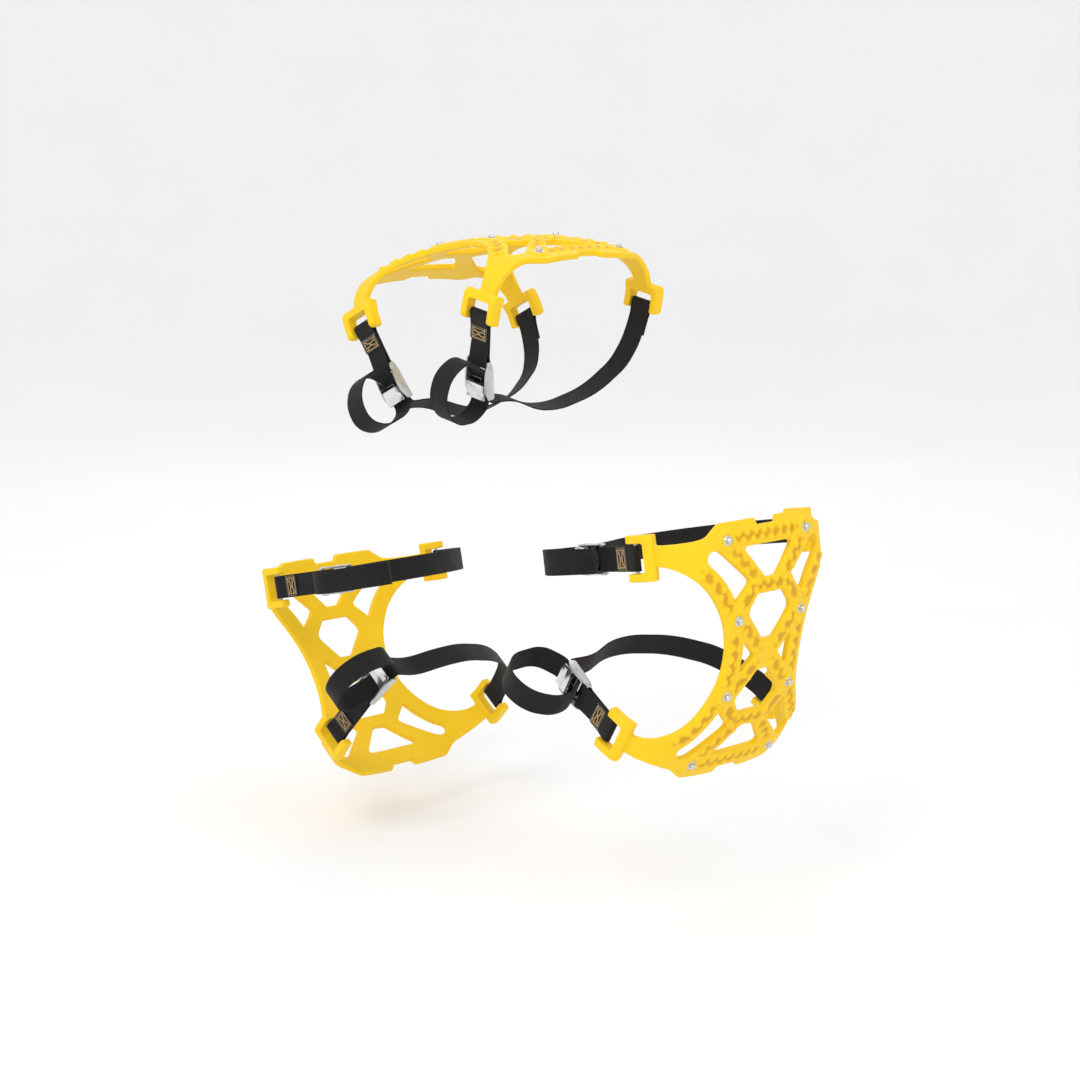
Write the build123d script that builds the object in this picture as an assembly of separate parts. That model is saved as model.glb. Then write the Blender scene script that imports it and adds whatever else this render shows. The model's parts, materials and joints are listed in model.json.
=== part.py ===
from build123d import *
import os
from math import asin, cos, degrees, pi, radians, sin, sqrt, tan

# Strap-on snow chains for one car wheel: three studded grip plates, each held by two long straps that
# pass through the wheel and two cam buckles. The units stand in the pose they take round a tyre.
# Millimetres. The tyre's axis is Y, its outer face looks along -Y, +Z is up, and the origin is its centre.
# Angles round the tyre run from +X towards +Z. (m, s) is the flat pattern of a plate: m is measured
# across the tread from its middle, s round the tyre from the plate's middle.

# ---- the tyre the chains are made for (225/55 R16); it isn't part of the object ----
rim_radius = 220.0             # outer radius of the rim flange
rim_half_width = 105.0         # from the tyre's middle plane to the rim flange
sidewall_height = 107.0        # from the rim flange to the tread
tyre_half_width = 113.4        # at the widest point of the sidewall
tread_flat = 10.0              # half width of the middle of the tread, which is straight across
tread_radius = 400.0           # the tread's crown across its width
shoulder_radius = 48.0         # the tyre's shoulder
tyre_radius = rim_radius + sidewall_height

# ---- grip plate, moulded in flexible plastic ----
unit_angles = (97.0, -10.6, 211.0)
plate_gap = 1.5                # inner face above the tread
plate_thickness = 6.5
pattern_height = 10.0          # the flat pattern is measured this far above the tyre
end_tab = 137.0                # s of the raised tabs at each end
end_notch = 130.0              # s of the notch between the tabs
notch_half_width = 15.0
tab_half_width = 66.0
arc_centre = 162.0             # m of the centre of the big side arc
arc_radius = 104.0             # radius of the big side arc
side_rib = 21.0                # width of the rib along the side arc
arm_root = (78.0, 129.0)       # where an arm's outer edge leaves the plate's corner
arm_waist = (100.0, 123.0)
arm_tip_width = 25.5           # measured round the pattern
clip_arc = 111.3               # s of an arm's clip
bar_start = 139.0              # m where the clip's crossbar begins
bar_depth = 10.0
leg_end = 170.0                # m of the clip's leg tips
leg_width = 8.0
clip_play = 2.0                # each side of the webbing, between the legs
clip_height = 14.0             # clip above the plate's inner face
clip_lift = 0.5                # clip's underside above the plate's inner face
boss_radius = 11.0
boss_draft = 1.5               # boss narrower at its top
boss_rise = 2.0

# ---- studs, clip pins ----
stud_places = ((60.0, 119.0), (48.0, 39.0))    # (m, s), mirrored to the other three quarters
studs = [(a * m, b * s) for m, s in stud_places for a in (-1, 1) for b in (-1, 1)]
stud_radius = 3.5
stud_flange_radius = 5.5
stud_flange = 1.5
stud_seat = 2.0                # plastic under the flange
stud_chamfer = 1.2
stud_rise = 4.0                # tip above the boss
pin_recess = 0.5               # each end of the pin, inside its leg
pin_radius = 2.0
pin_place = 161.6              # m of the pin's axis
pin_height = 6.5               # pin's axis above the plate's inner face
press_gap = 0.02

# ---- webbing ----
strap_width = 25.0
strap_thickness = 1.6
loop_gap = 0.4                 # a strap's loop round a pin that it turns on
layer_gap = 0.1                # between two layers of webbing
well_depth = 57.0              # from the rim flange down to where the strap crosses the wheel

# ---- cam buckle; u runs from its bar to its mouth, w outwards from its base, v across ----
ear_thickness = 1.5
ear_gap = 1.0                  # each side of the webbing
base_thickness = 1.5
base_start = 10.0
frame_length = 39.0
frame_height = 12.0
bar_radius = 2.0
bar_at = (2.5, 4.8)
axle_radius = 1.75
axle_at = (25.0, 8.0)
running_gap = 0.05
rivet_head = 0.9               # height of a rivet head
rivet_foot = 1.3               # rivet head wider than its pin, at the ear
rivet_top = 0.7                # and at its top
ear_corner = 1.8
buckle_tilt = 14.0             # the mouth leans in over the rim flange
buckle_stand_off = 4.0         # base outside the rim flange
nose_gap = 0.35                # from the closed cam to the webbing
lever_gap = 0.9                # each side of the lever, inside the ears
lever_thickness = 1.5
lever_start = 22.0
lever_end = 39.0
cam_wall = 1.3                 # steel round the lever's bore
spring_wire = 0.4              # wire radius
spring_gap = 0.2               # coil round its axle
spring_turns = 4.5
spring_slot = 10.0             # slot in the lever for the coil
spring_foot = 6.5              # from the axle to the leg that goes into the ear
spring_hole_gap = 0.1

# ---- the tail loops: points of each strap's free end past the buckle's cam, as (u, w) ----
round_loop = [(-16, 30), (-7, 64), (24, 77), (55, 61), (63, 26)]
long_loop = [(-12, 26), (-6, 56), (20, 80), (50, 84), (67, 60), (62, 22)]
wide_loop = [(-18, 34), (-4, 72), (30, 80), (66, 62), (74, 26)]
small_loop = [(-12, 26), (-2, 50), (22, 58), (48, 44), (56, 20)]
low_loop = [(-6, 17), (12, 30), (52, 30), (92, 22), (96, 8)]
# each strap: its name, its unit, its side of the unit, the buckle's drop below the rim flange, its tail
straps = [
    ("1a", 0, 1, 0.0, long_loop),
    ("1b", 0, -1, 0.0, round_loop),
    ("2a", 1, 1, 0.0, small_loop),
    ("2b", 1, -1, 0.0, wide_loop),
    ("3a", 2, 1, 16.0, round_loop),
    ("3b", 2, -1, 16.0, low_loop),
]

# ---- worked out from the sizes above ----
plate_top = plate_gap + plate_thickness
pattern_radius = tyre_radius + 7.0
shoulder_y = tyre_half_width - shoulder_radius
crown_turn = asin((shoulder_y - tread_flat) / (tread_radius - shoulder_radius))
shoulder_r = tyre_radius - tread_radius + (tread_radius - shoulder_radius) * cos(crown_turn)
crown_end = tread_flat + (tread_radius + pattern_height) * crown_turn
bulge_at = crown_end + (shoulder_radius + pattern_height) * (pi / 2 - crown_turn)
clip_angle = degrees(clip_arc / pattern_radius)
clip_width = strap_width + 2 * (clip_play + leg_width)
well = rim_radius - well_depth
ear_inside = strap_width / 2 + ear_gap
ear_outside = ear_inside + ear_thickness
strap_level = base_thickness + 0.3 + strap_thickness / 2
nose_level = strap_level + strap_thickness / 2 + nose_gap
coil_radius = axle_radius + spring_gap + spring_wire
lever_level = axle_at[1] + coil_radius + spring_wire + 0.15


def meridian(m, height):
    """A point at m across the tyre, that height above it, as (r, y), with its outward turn."""
    side = -1 if m < 0 else 1
    m = abs(m)
    if m <= tread_flat:
        return (tyre_radius + height, side * m), 0.0
    if m <= crown_end:
        turn = (m - tread_flat) / (tread_radius + pattern_height)
        reach = tread_radius + height
        centre = (tyre_radius - tread_radius, tread_flat)
    else:
        turn = min(crown_turn + (m - crown_end) / (shoulder_radius + pattern_height), pi / 2)
        reach = shoulder_radius + height
        centre = (shoulder_r - max(0.0, m - bulge_at), shoulder_y)
    return (centre[0] + reach * cos(turn), side * (centre[1] + reach * sin(turn))), side * turn


def spot(m, height):
    return meridian(m, height)[0]


def on_plate(m, s, height):
    """The place and outward normal above a point of the flat pattern, as a plane."""
    (r, y), turn = meridian(m, height)
    a = s / pattern_radius
    normal = (cos(turn) * cos(a), sin(turn), cos(turn) * sin(a))
    return Plane(origin=(r * cos(a), y, r * sin(a)), z_dir=normal)


def flat(m, s):
    """A point of the flat pattern seen along the plate's own radius."""
    r, y = spot(m, plate_top)
    return (y, r * sin(s / pattern_radius))


def round_tyre(shape, angle):
    """Turn a shape made at angle 0 to its place round the tyre."""
    return Rot(0, -angle, 0) * shape


def face_of(*lines):
    return make_face(Curve() + list(lines))


# ---------------------------------------------------------------- grip plate
def plate_band():
    """The tyre's outline, offset to the plate's two faces and turned about the tyre's axis."""
    marks = (-bar_start - 5, -crown_end, -tread_flat, tread_flat, crown_end, bar_start + 5)

    def side(height):
        lines = []
        for a, b in zip(marks, marks[1:]):
            if b == tread_flat:
                lines.append(Line(spot(a, height), spot(b, height)))
            else:
                lines.append(ThreePointArc(spot(a, height), spot((a + b) / 2, height), spot(b, height)))
        return lines

    ends = [Line(spot(m, plate_gap), spot(m, plate_top)) for m in (marks[0], marks[-1])]
    band = face_of(*side(plate_gap), *side(plate_top), *ends)
    half = degrees(end_tab / pattern_radius) + 3
    return Rot(0, -half, 0) * revolve(band, Axis.Y, 2 * half)


def side_arc(radius, s_from, s_to, count):
    """Points on an arc about the centre of the big side arc."""
    steps = [s_from + (s_to - s_from) * i / (count - 1) for i in range(count)]
    return [flat(arc_centre - sqrt(radius**2 - s * s), s) for s in steps]


def quarter_outline():
    """A quarter of the plate with an arm, up to the clip's crossbar."""
    tip = bar_start + 4
    half_tip = arm_tip_width / 2
    inner_tip = sqrt(arc_radius**2 - (arc_centre - tip) ** 2)
    corner = [(0, 0), (0, end_notch), (notch_half_width, end_notch), (notch_half_width + 3, end_tab),
              (tab_half_width, end_tab), arm_root]
    outer = Spline(flat(*arm_root), flat(*arm_waist), flat(tip, clip_arc + half_tip),
                   tangents=(Vector(flat(88, 124.5)) - Vector(flat(*arm_root)), Vector(1, 0.06)))
    inner = Spline(*side_arc(arc_radius, 0, inner_tip, 9))
    return face_of(
        Polyline(*[flat(*p) for p in corner]), outer,
        Line(flat(tip, clip_arc + half_tip), inner @ 1), inner, Line(inner @ 0, flat(0, 0)),
    )


def rounded(points, radii):
    """A window with its own radius at each corner."""
    window = Polygon(*[flat(*p) for p in points], align=None)
    for point, radius in zip(points, radii):
        corner = window.vertices().sort_by_distance((*flat(*point), 0))[0]
        if radius:
            window = fillet(corner, radius)
    return window


def quarter_windows():
    """The openings of one quarter, or of the half that the mirrors below complete."""
    end = rounded([(-39.5, 110.5), (39.5, 110.5), (9, 78), (-9, 78)], (3, 3, 3, 3))
    middle = rounded([(-20, 62.5), (20, 62.5), (34, 45), (9, 16), (-9, 16), (-34, 45)], (4, 4, 8, 3, 3, 8))
    inside = arc_radius + side_rib
    slot_arc = side_arc(inside, 57, 96, 5)
    slot = face_of(
        Spline(*slot_arc), ThreePointArc(slot_arc[-1], flat(84.5, 105), flat(76, 109)),
        Line(flat(76, 109), flat(69, 108.5)), Line(flat(69, 108.5), flat(33.5, 79)),
        ThreePointArc(flat(33.5, 79), flat(31.5, 75.5), flat(33, 72)), Line(flat(33, 72), slot_arc[0]),
    )
    side = rounded([(36, 17), (36, -17), (18, 0)], (1.5, 1.5, 1.5))
    return end, middle, slot, side


def plate_outline():
    quarter = quarter_outline()
    end, middle, slot, side = quarter_windows()
    half = quarter + mirror(quarter, Plane.YZ)
    whole = half + mirror(half, Plane.XZ)
    for window in (end, middle):
        whole = whole - window - mirror(window, Plane.XZ)
    whole = whole - side - mirror(side, Plane.YZ)
    pair = slot + mirror(slot, Plane.YZ)
    return whole - pair - mirror(pair, Plane.XZ)


def clip(side):
    """Crossbar and two legs at the end of an arm, with the bore for the pin, at angle 0."""
    low, high = plate_gap + clip_lift, plate_gap + clip_height
    crossbar = Polygon(spot(bar_start, plate_gap), spot(bar_start, high - 4), spot(bar_start + 2, high - 1.5),
                       spot(bar_start + bar_depth, high - 1), spot(bar_start + bar_depth, low), align=None)
    leg = Polygon(spot(bar_start + 1, low), spot(bar_start + 1, high - 3), spot(bar_start + 5, high),
                  spot(leg_end - 3, high), spot(leg_end, high - 3), spot(leg_end, low + 1), align=None)
    body = extrude(crossbar, clip_width / 2, both=True)
    for v in (-1, 1):
        body += Pos(0, 0, v * (clip_width - leg_width) / 2) * extrude(leg, leg_width / 2, both=True)
    r, y = spot(pin_place, plate_gap + pin_height)
    body -= Pos(r, y, 0) * Cylinder(pin_radius + press_gap, clip_width + 2)
    return body if side > 0 else mirror(body, Plane.XZ)


def stud(gap=0.0):
    """A steel stud standing on z = 0, the top of its boss, with its flange moulded in below."""
    root = stud_seat - plate_thickness - boss_rise
    flange, shank = stud_flange_radius + gap, stud_radius + gap
    step = root + stud_flange + gap
    outline = Polyline((0, root - gap), (flange, root - gap), (flange, step), (shank, step),
                       (shank, stud_rise - stud_chamfer), (shank - stud_chamfer, stud_rise), (0, stud_rise),
                       close=True)
    return revolve(Plane.XZ * make_face(outline), Axis.Z)


def stud_group(gap=0.0):
    top = plate_top + boss_rise
    return [on_plate(m, s, top).location * stud(gap) for m, s in studs]


def plate():
    sheet = Plane(origin=(0.6 * tyre_radius, 0, 0), x_dir=(0, 1, 0), z_dir=(1, 0, 0))
    body = plate_band() & extrude(sheet * plate_outline(), 0.6 * tyre_radius)
    boss_height = plate_thickness + boss_rise - 1
    for m, s in studs:
        cone = Cone(boss_radius, boss_radius - boss_draft, boss_height,
                    align=(Align.CENTER, Align.CENTER, Align.MAX))
        body += on_plate(m, s, plate_top + boss_rise).location * cone
    for side in (-1, 1):
        for end in (-1, 1):
            body += round_tyre(clip(side), end * clip_angle)
    for pocket in stud_group(press_gap):
        body -= pocket
    return body


def pin_group():
    """The four clip pins of a unit."""
    r, y = spot(pin_place, plate_gap + pin_height)
    pin = Cylinder(pin_radius, clip_width - 2 * pin_recess)
    return [round_tyre(Pos(r, side * y, 0) * pin, end * clip_angle) for side in (-1, 1) for end in (-1, 1)]


# ---------------------------------------------------------------- webbing
def ribbon(points, radii):
    """A flat strap along a bent line in the (r, y) plane."""
    half = strap_thickness / 2
    runs = [Vector(*b) - Vector(*a) for a, b in zip(points, points[1:])]
    normals = [Vector(-d.Y, d.X).normalized() for d in runs]
    joins = [normals[0]] + [(a + b) / (1 + a.dot(b)) for a, b in zip(normals, normals[1:])] + [normals[-1]]
    edges = []
    for side in (-1, 1):
        line = [Vector(*p) + n * side * half for p, n in zip(points, joins)]
        turns = [radius - side * half * (1 if a.cross(b).Z > 0 else -1)
                 for radius, a, b in zip(radii, runs, runs[1:])]
        edges.append((line, turns))
    sides = [FilletPolyline(*line, radius=turns) for line, turns in edges]
    caps = [Line(edges[0][0][i], edges[1][0][i]) for i in (0, -1)]
    return extrude(face_of(*sides, *caps), strap_width / 2, both=True)


def soft_radii(points, share=0.45):
    """The largest easy radius at each corner of a line."""
    radii = []
    for a, b, c in zip(points, points[1:], points[2:]):
        before, after = Vector(*b) - Vector(*a), Vector(*c) - Vector(*b)
        turn = radians(before.get_angle(after))
        radii.append(share * min(before.length, after.length) / tan(turn / 2))
    return radii


def buckle_plane(drop):
    """The buckle's own frame in the (r, y) plane: u in x, w in y."""
    lean = radians(buckle_tilt)
    origin = (rim_radius + 1 - drop, -(rim_half_width + buckle_stand_off), 0)
    return Plane(origin=origin, x_dir=(-cos(lean), sin(lean), 0), z_dir=(0, 0, 1))


def in_buckle(drop, u, w):
    place = buckle_plane(drop).from_local_coords(Vector(u, w, 0))
    return (place.X, place.Y)


def outer_pin():
    r, y = spot(pin_place, plate_gap + pin_height)
    return (r, -y)


def short_strap(drop):
    """Round the outer clip pin, down, round the buckle's bar, and back up between its own two layers."""
    start, end = Vector(*in_buckle(drop, *bar_at)), Vector(*outer_pin())
    along = (end - start).normalized()
    out = Vector(along.Y, -along.X) if along.X > 0 else Vector(-along.Y, along.X)
    length = (end - start).length
    pitch = strap_thickness + layer_gap
    pin_turn = pin_radius + loop_gap + strap_thickness / 2
    bar_turn = bar_radius + layer_gap + strap_thickness / 2
    line = [(length - 28, pitch), (length - 13, pitch), (length - 3, pin_turn), (length + pin_turn, pin_turn),
            (length + pin_turn, -pin_turn), (length - 3, -pin_turn), (length - 13, -pitch), (8, -pitch),
            (3, -bar_turn), (-bar_turn, -bar_turn), (-bar_turn, bar_turn), (3, bar_turn),
            (length - 30, 0), (length - 14, 0)]
    points = [tuple(start + along * a + out * b)[:2] for a, b in line]
    radii = [8, 4, pin_turn - 0.02, pin_turn - 0.02, 4, 8, 4, 4, bar_turn - 0.02, bar_turn - 0.02, 5, 20]
    return ribbon(points, radii)


def long_strap_line(drop, tail):
    """From the stitched end of the inner loop, round the inner pin, through the wheel and the buckle,
    and round the tail loop to its tucked end."""
    r, y = outer_pin()[0], -outer_pin()[1]
    turn = pin_radius + loop_gap + strap_thickness / 2
    sewn = [(r - 34, y - 3.6), (r - 13, y - 0.4), (r - 4, y + turn), (r + turn, y + turn),
            (r + turn, y - turn), (r - 4, y - turn), (r - 13, y - 2.4)]
    through = [(r - 27, y - 4.6), (rim_radius + 5, rim_half_width + 7), (rim_radius - 17, rim_half_width - 6),
               (well + 13, 0.57 * rim_half_width), (well, 8), (well + 1, -26),
               (well + 16 - drop / 2, -0.64 * rim_half_width)]
    inside = [in_buckle(drop, 44, strap_level + 0.4), in_buckle(drop, 33, strap_level),
              in_buckle(drop, 15, strap_level)]
    tucked = strap_level + strap_thickness + 1.2
    loop = [in_buckle(drop, u, w) for u, w in tail]
    end = [in_buckle(drop, 47, tucked), in_buckle(drop, 31, tucked)]
    points = sewn + through + inside + loop + end
    radii = soft_radii(points)
    radii[2] = radii[3] = turn - 0.02
    return points, radii


def long_strap(drop, tail):
    return ribbon(*long_strap_line(drop, tail))


# ---------------------------------------------------------------- cam buckle, in its own frame
def buckle_frame():
    """Pressed steel channel: a base under the webbing and two ears."""
    ear = Polygon((-2.5, 2.5), (-2.5, 7.5), (3, 9.5), (axle_at[0] - 5, frame_height),
                  (axle_at[0] + 5, frame_height), (frame_length, 8), (frame_length, 0), (base_start - 3, 0),
                  align=None)
    ear = fillet(ear.vertices(), ear_corner)
    base = Pos((base_start + frame_length - 1) / 2, base_thickness / 2, 0) * Box(
        frame_length - 1 - base_start, base_thickness, 2 * ear_outside)
    body = base
    for side in (-1, 1):
        body += Pos(0, 0, side * (ear_inside + ear_thickness / 2)) * extrude(ear, ear_thickness / 2, both=True)
    for (u, w), radius in ((bar_at, bar_radius), (axle_at, axle_radius)):
        body -= Pos(u, w, 0) * Cylinder(radius + press_gap, 3 * strap_width)
    hole = axle_at[0] - spring_foot, axle_at[1] - coil_radius
    return body - Pos(*hole, ear_inside) * Cylinder(spring_wire + spring_hole_gap, 4 * ear_thickness)


def riveted_pin(radius):
    """A pin through both ears with a low head on each end."""
    pin = Cylinder(radius, 2 * ear_outside)
    for side in (-1, 1):
        head = Cone(radius + rivet_foot, radius + rivet_top, rivet_head, align=(Align.CENTER, Align.CENTER, Align.MIN))
        pin += Pos(0, 0, side * ear_outside) * (head if side > 0 else Rot(180, 0, 0) * head)
    return pin


def cam_lever():
    """Toothed cam on the axle with a flat thumb plate, slotted in the middle for its spring."""
    u, w = axle_at
    half = ear_inside - lever_gap
    teeth = [(u + 0.65 * i - 1.3, nose_level + (0.7 if i % 2 else 0)) for i in range(5)]
    nose = Polygon((u - 2.9, w - 1), *teeth, (u + 2.9, w - 1), (u + 2.4, lever_level + 0.5),
                   (u - 2.4, lever_level + 0.5), align=None)
    thumb = Polygon((lever_start, lever_level), (lever_end - 3, lever_level), (lever_end, lever_level + 0.9),
                    (lever_end - 0.4, lever_level + 0.9 + lever_thickness),
                    (lever_end - 3.4, lever_level + lever_thickness),
                    (lever_start, lever_level + lever_thickness), align=None)
    drum = Circle(axle_radius + running_gap + cam_wall)
    cam = extrude(nose + Pos(u, w) * drum, half, both=True)
    cam -= Pos(u, w, 0) * Cylinder(axle_radius + running_gap, 4 * half)
    slot_height = lever_level - nose_level + 2
    cam -= Pos(u, lever_level - slot_height / 2, 0) * Box(12, slot_height, spring_slot)
    return cam + extrude(thumb, half, both=True)


def cam_spring():
    """Torsion spring on the axle: one leg under the thumb plate, one in the ear."""
    u, w = axle_at
    pitch = 2 * spring_wire + 0.1
    height = pitch * spring_turns
    coil = Helix(pitch, height, coil_radius)
    wire = sweep(Plane(origin=coil @ 0, z_dir=coil % 0) * Circle(spring_wire), coil)
    body = Pos(u, w, -height / 2) * Rot(0, 0, -90) * wire
    low = w - coil_radius
    into_coil = 0.6
    foot_at = u - (spring_foot - into_coil) / 2
    foot = Pos(foot_at, low, -height / 2) * Rot(0, 90, 0) * Cylinder(spring_wire, spring_foot + into_coil)
    reach = ear_inside + 1 + height / 2
    post = Pos(u - spring_foot, low, -height / 2 + reach / 2) * Cylinder(spring_wire, reach)
    corner = Pos(u - spring_foot, low, -height / 2) * Sphere(spring_wire)
    push_length = 7.0 + into_coil
    push_at = u - into_coil + push_length / 2
    push = Pos(push_at, w + coil_radius, height / 2) * Rot(0, 90, 0) * Cylinder(spring_wire, push_length)
    return body + foot + corner + post + push


def save(shape, name):
    shape.label = name
    export_step(shape, f"parts/{name}.step")


def build():
    os.makedirs("parts", exist_ok=True)
    one_plate, one_studs, one_pins = plate(), stud_group(), pin_group()
    for number, angle in enumerate(unit_angles, 1):
        save(round_tyre(one_plate, angle), f"grip_plate_{number}")
        save(round_tyre(Compound(children=one_studs), angle), f"steel_studs_{number}")
        save(round_tyre(Compound(children=one_pins), angle), f"clip_pins_{number}")
    frame, lever, spring = buckle_frame(), cam_lever(), cam_spring()
    bar = Pos(*bar_at, 0) * riveted_pin(bar_radius)
    axle = Pos(*axle_at, 0) * riveted_pin(axle_radius)
    for name, unit, side, drop, tail in straps:
        angle = unit_angles[unit] + side * clip_angle
        save(round_tyre(short_strap(drop), angle), f"short_strap_{name}")
        save(round_tyre(long_strap(drop, tail), angle), f"long_strap_{name}")
        place = buckle_plane(drop).location
        pieces = {"buckle_frame": frame, "buckle_bar": bar, "cam_axle": axle, "cam_lever": lever,
                  "cam_spring": spring}
        for piece, shape in pieces.items():
            save(round_tyre(place * shape, angle), f"{piece}_{name}")


if __name__ == "__main__":
    build()
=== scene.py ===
# %% [markdown]
# # Strap-on snow chains round a missing tyre
#
# The object is a set of three moulded grip plates. Each one lies over the tread of a tyre and is pulled
# down by webbing straps that pass through the wheel and end in cam buckles. The engineering model gives
# the frame: its bodies, joints and sizes. This file builds what is seen round that frame, so it starts by
# loading it. Nothing here moves or resizes the frame, and every size below is in millimetres until a mesh
# is made, because that is how a maker would measure these pieces.

# %% Load the frame
import json
from functools import partial
from math import asin, atan2, cos, degrees, hypot, pi, radians, sin, sqrt, tan

import bpy
import numpy as np
from mathutils import Matrix, Vector


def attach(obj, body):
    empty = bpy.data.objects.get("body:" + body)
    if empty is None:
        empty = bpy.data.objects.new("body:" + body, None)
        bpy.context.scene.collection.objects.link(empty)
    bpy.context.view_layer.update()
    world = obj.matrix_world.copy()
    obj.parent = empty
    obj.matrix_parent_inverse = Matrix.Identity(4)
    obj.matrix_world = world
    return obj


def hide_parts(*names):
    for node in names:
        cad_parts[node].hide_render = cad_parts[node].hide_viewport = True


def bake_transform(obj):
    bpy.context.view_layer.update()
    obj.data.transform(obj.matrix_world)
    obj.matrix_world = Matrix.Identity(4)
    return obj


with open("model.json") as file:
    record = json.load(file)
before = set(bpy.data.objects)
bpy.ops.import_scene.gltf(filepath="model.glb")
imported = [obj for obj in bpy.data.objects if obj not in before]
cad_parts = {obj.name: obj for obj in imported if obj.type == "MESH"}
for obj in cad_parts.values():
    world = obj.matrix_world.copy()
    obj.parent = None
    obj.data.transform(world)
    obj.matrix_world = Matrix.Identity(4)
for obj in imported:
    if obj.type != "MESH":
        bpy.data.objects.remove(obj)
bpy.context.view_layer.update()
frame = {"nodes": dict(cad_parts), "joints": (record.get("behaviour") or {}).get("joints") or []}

MM = 0.001
joints = {joint["name"]: joint for joint in frame["joints"]}

# %% [markdown]
# ## Where each strap is
#
# Every strap hangs from a steel pin in a forked clip, and that pin is the axis of a joint. So the joint's
# position says where the strap is: its angle round the wheel, its distance from the wheel's axis, and its
# distance from the tyre's middle plane. A unit's own angle is halfway between its two straps.

# %% Straps from the joints
UNIT_BODIES = {"1": "top_unit", "2": "front_unit", "3": "rear_unit"}
strap_names = sorted(name[-2:] for name in joints if name.startswith("buckle_swing_"))


def around(joint):
    """A joint's place as (angle in degrees from +X towards +Z, radius, y), in millimetres."""
    x, y, z = (value / MM for value in joint["pos_m"])
    return degrees(atan2(z, x)), hypot(x, z), y


pins = {name: around(joints["buckle_swing_" + name]) for name in strap_names}
axles = {name: around(joints["cam_" + name]) for name in strap_names}
unit_angles = {}
for number in UNIT_BODIES:
    a, b = (radians(pins[name][0]) for name in strap_names if name[0] == number)
    unit_angles[number] = degrees(atan2(sin(a) + sin(b), cos(a) + cos(b)))
half_spread = (pins["1a"][0] - pins["1b"][0]) / 2
print("unit angles:", unit_angles, "clips at +-%.2f degrees" % half_spread)

# %% [markdown]
# ## A small language for shader maths
#
# A procedural material is mostly arithmetic on texture values. Written as nodes that is hard to read, so a
# small class wraps a socket and turns Python operators into Math nodes. `mask * 0.5 + 0.2` then reads as it
# would on paper. Everything else, such as noise or a colour mix, is made by one method.

# %% Shader expressions
class Value:
    """A number in a shader, as a socket that Python operators can work on."""

    def __init__(self, shader, socket):
        self.shader, self.socket = shader, socket

    def math(self, operation, *others):
        return self.shader.add("ShaderNodeMath", dict(operation=operation), [self, *others])

    def __add__(self, other):
        return self.math("ADD", other)

    def __sub__(self, other):
        return self.math("SUBTRACT", other)

    def __mul__(self, other):
        return self.math("MULTIPLY", other)

    def __truediv__(self, other):
        return self.math("DIVIDE", other)

    __radd__ = __add__
    __rmul__ = __mul__

    def sine(self):
        return self.math("SINE")

    def absolute(self):
        return self.math("ABSOLUTE")

    def fraction(self):
        return self.math("FRACT")

    def power(self, exponent):
        return self.math("POWER", exponent)

    def clamped(self):
        return self.shader.add("ShaderNodeClamp", {}, [self])

    def between(self, low, high):
        """0 below low, 1 above high, and smooth in between."""
        inputs = {"Value": self, "From Min": low, "From Max": high}
        return self.shader.add("ShaderNodeMapRange", dict(interpolation_type="SMOOTHSTEP"), inputs)


class Shader:
    """A material with one Principled surface, built from expressions."""

    def __init__(self, name, **fixed):
        self.material = bpy.data.materials.new(name)
        self.material.use_nodes = True
        self.nodes = self.material.node_tree.nodes
        self.links = self.material.node_tree.links
        self.surface = next(n for n in self.nodes if n.type == "BSDF_PRINCIPLED")
        for key, value in fixed.items():
            self.set(key.replace("_", " "), value)

    def plug(self, socket, value):
        """Link an expression, or set a constant. None leaves the socket as it is."""
        if isinstance(value, Value):
            self.links.new(value.socket, socket)
        elif value is not None:
            socket.default_value = value

    def set(self, name, value):
        self.plug(self.surface.inputs[name], value)

    def add(self, kind, settings=None, inputs=(), output=0):
        """Any node: its kind, its settings, and its inputs by place or by name."""
        node = self.nodes.new(kind)
        for key, value in (settings or {}).items():
            setattr(node, key, value)
        named = inputs.items() if isinstance(inputs, dict) else enumerate(inputs)
        for key, value in named:
            self.plug(node.inputs[key], value)
        return Value(self, node.outputs[output])

    def place(self):
        return self.add("ShaderNodeTexCoord", output="Object")

    def surface_map(self):
        """The piece's own map, as two numbers: across and along, in metres."""
        uv = self.add("ShaderNodeUVMap", dict(uv_map="strap"))
        across = self.add("ShaderNodeSeparateXYZ", {}, [uv])
        return across, Value(self, across.socket.node.outputs[1])

    def attribute(self, name):
        return self.add("ShaderNodeAttribute", dict(attribute_name=name), output="Fac")

    def noise(self, scale, detail=3.0):
        return self.add("ShaderNodeTexNoise", {}, dict(Vector=self.place(), Scale=scale, Detail=detail))

    def mix(self, amount, first, second):
        """Two colours mixed. A Mix node keeps its colour sockets at places 6 and 7, and its answer at 2."""
        return self.add("ShaderNodeMix", dict(data_type="RGBA"), {0: amount, 6: first, 7: second}, output=2)

    def bump(self, height, distance, strength=1.0, under=None):
        inputs = dict(Height=height, Distance=distance, Strength=strength, Normal=under)
        return self.add("ShaderNodeBump", {}, inputs)


print("a value has", len([name for name in vars(Value) if name.startswith("__r")]), "reflected operators")

# %% [markdown]
# ## The moulded plastic
#
# The plates are injection-moulded polyurethane: bright yellow, slightly soft-looking, with a satin skin.
# Two things keep it from looking like flat paint. Light goes a little way in, and the mould's fine grain
# breaks up the highlights. The shade in the pits between the bumps is painted into the colour, which deepens
# to orange-brown there. How far each point is from such a pit is stored on the mesh as a point attribute, so
# that the painted shade follows the real shape.

# %% Yellow plastic
# Yellow plastic colours. The first is painted shade for the pits between the lobes. The others are the
# plastic's own tones, and the last is a paler tint kept off the painted shade.
PAINTED_PIT_SHADE = (0.66, 0.345, 0.002, 1.0)
DEEP = (0.89, 0.515, 0.004, 1.0)
BRIGHT = (0.91, 0.570, 0.005, 1.0)
PALE = (0.93, 0.630, 0.010, 1.0)


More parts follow.
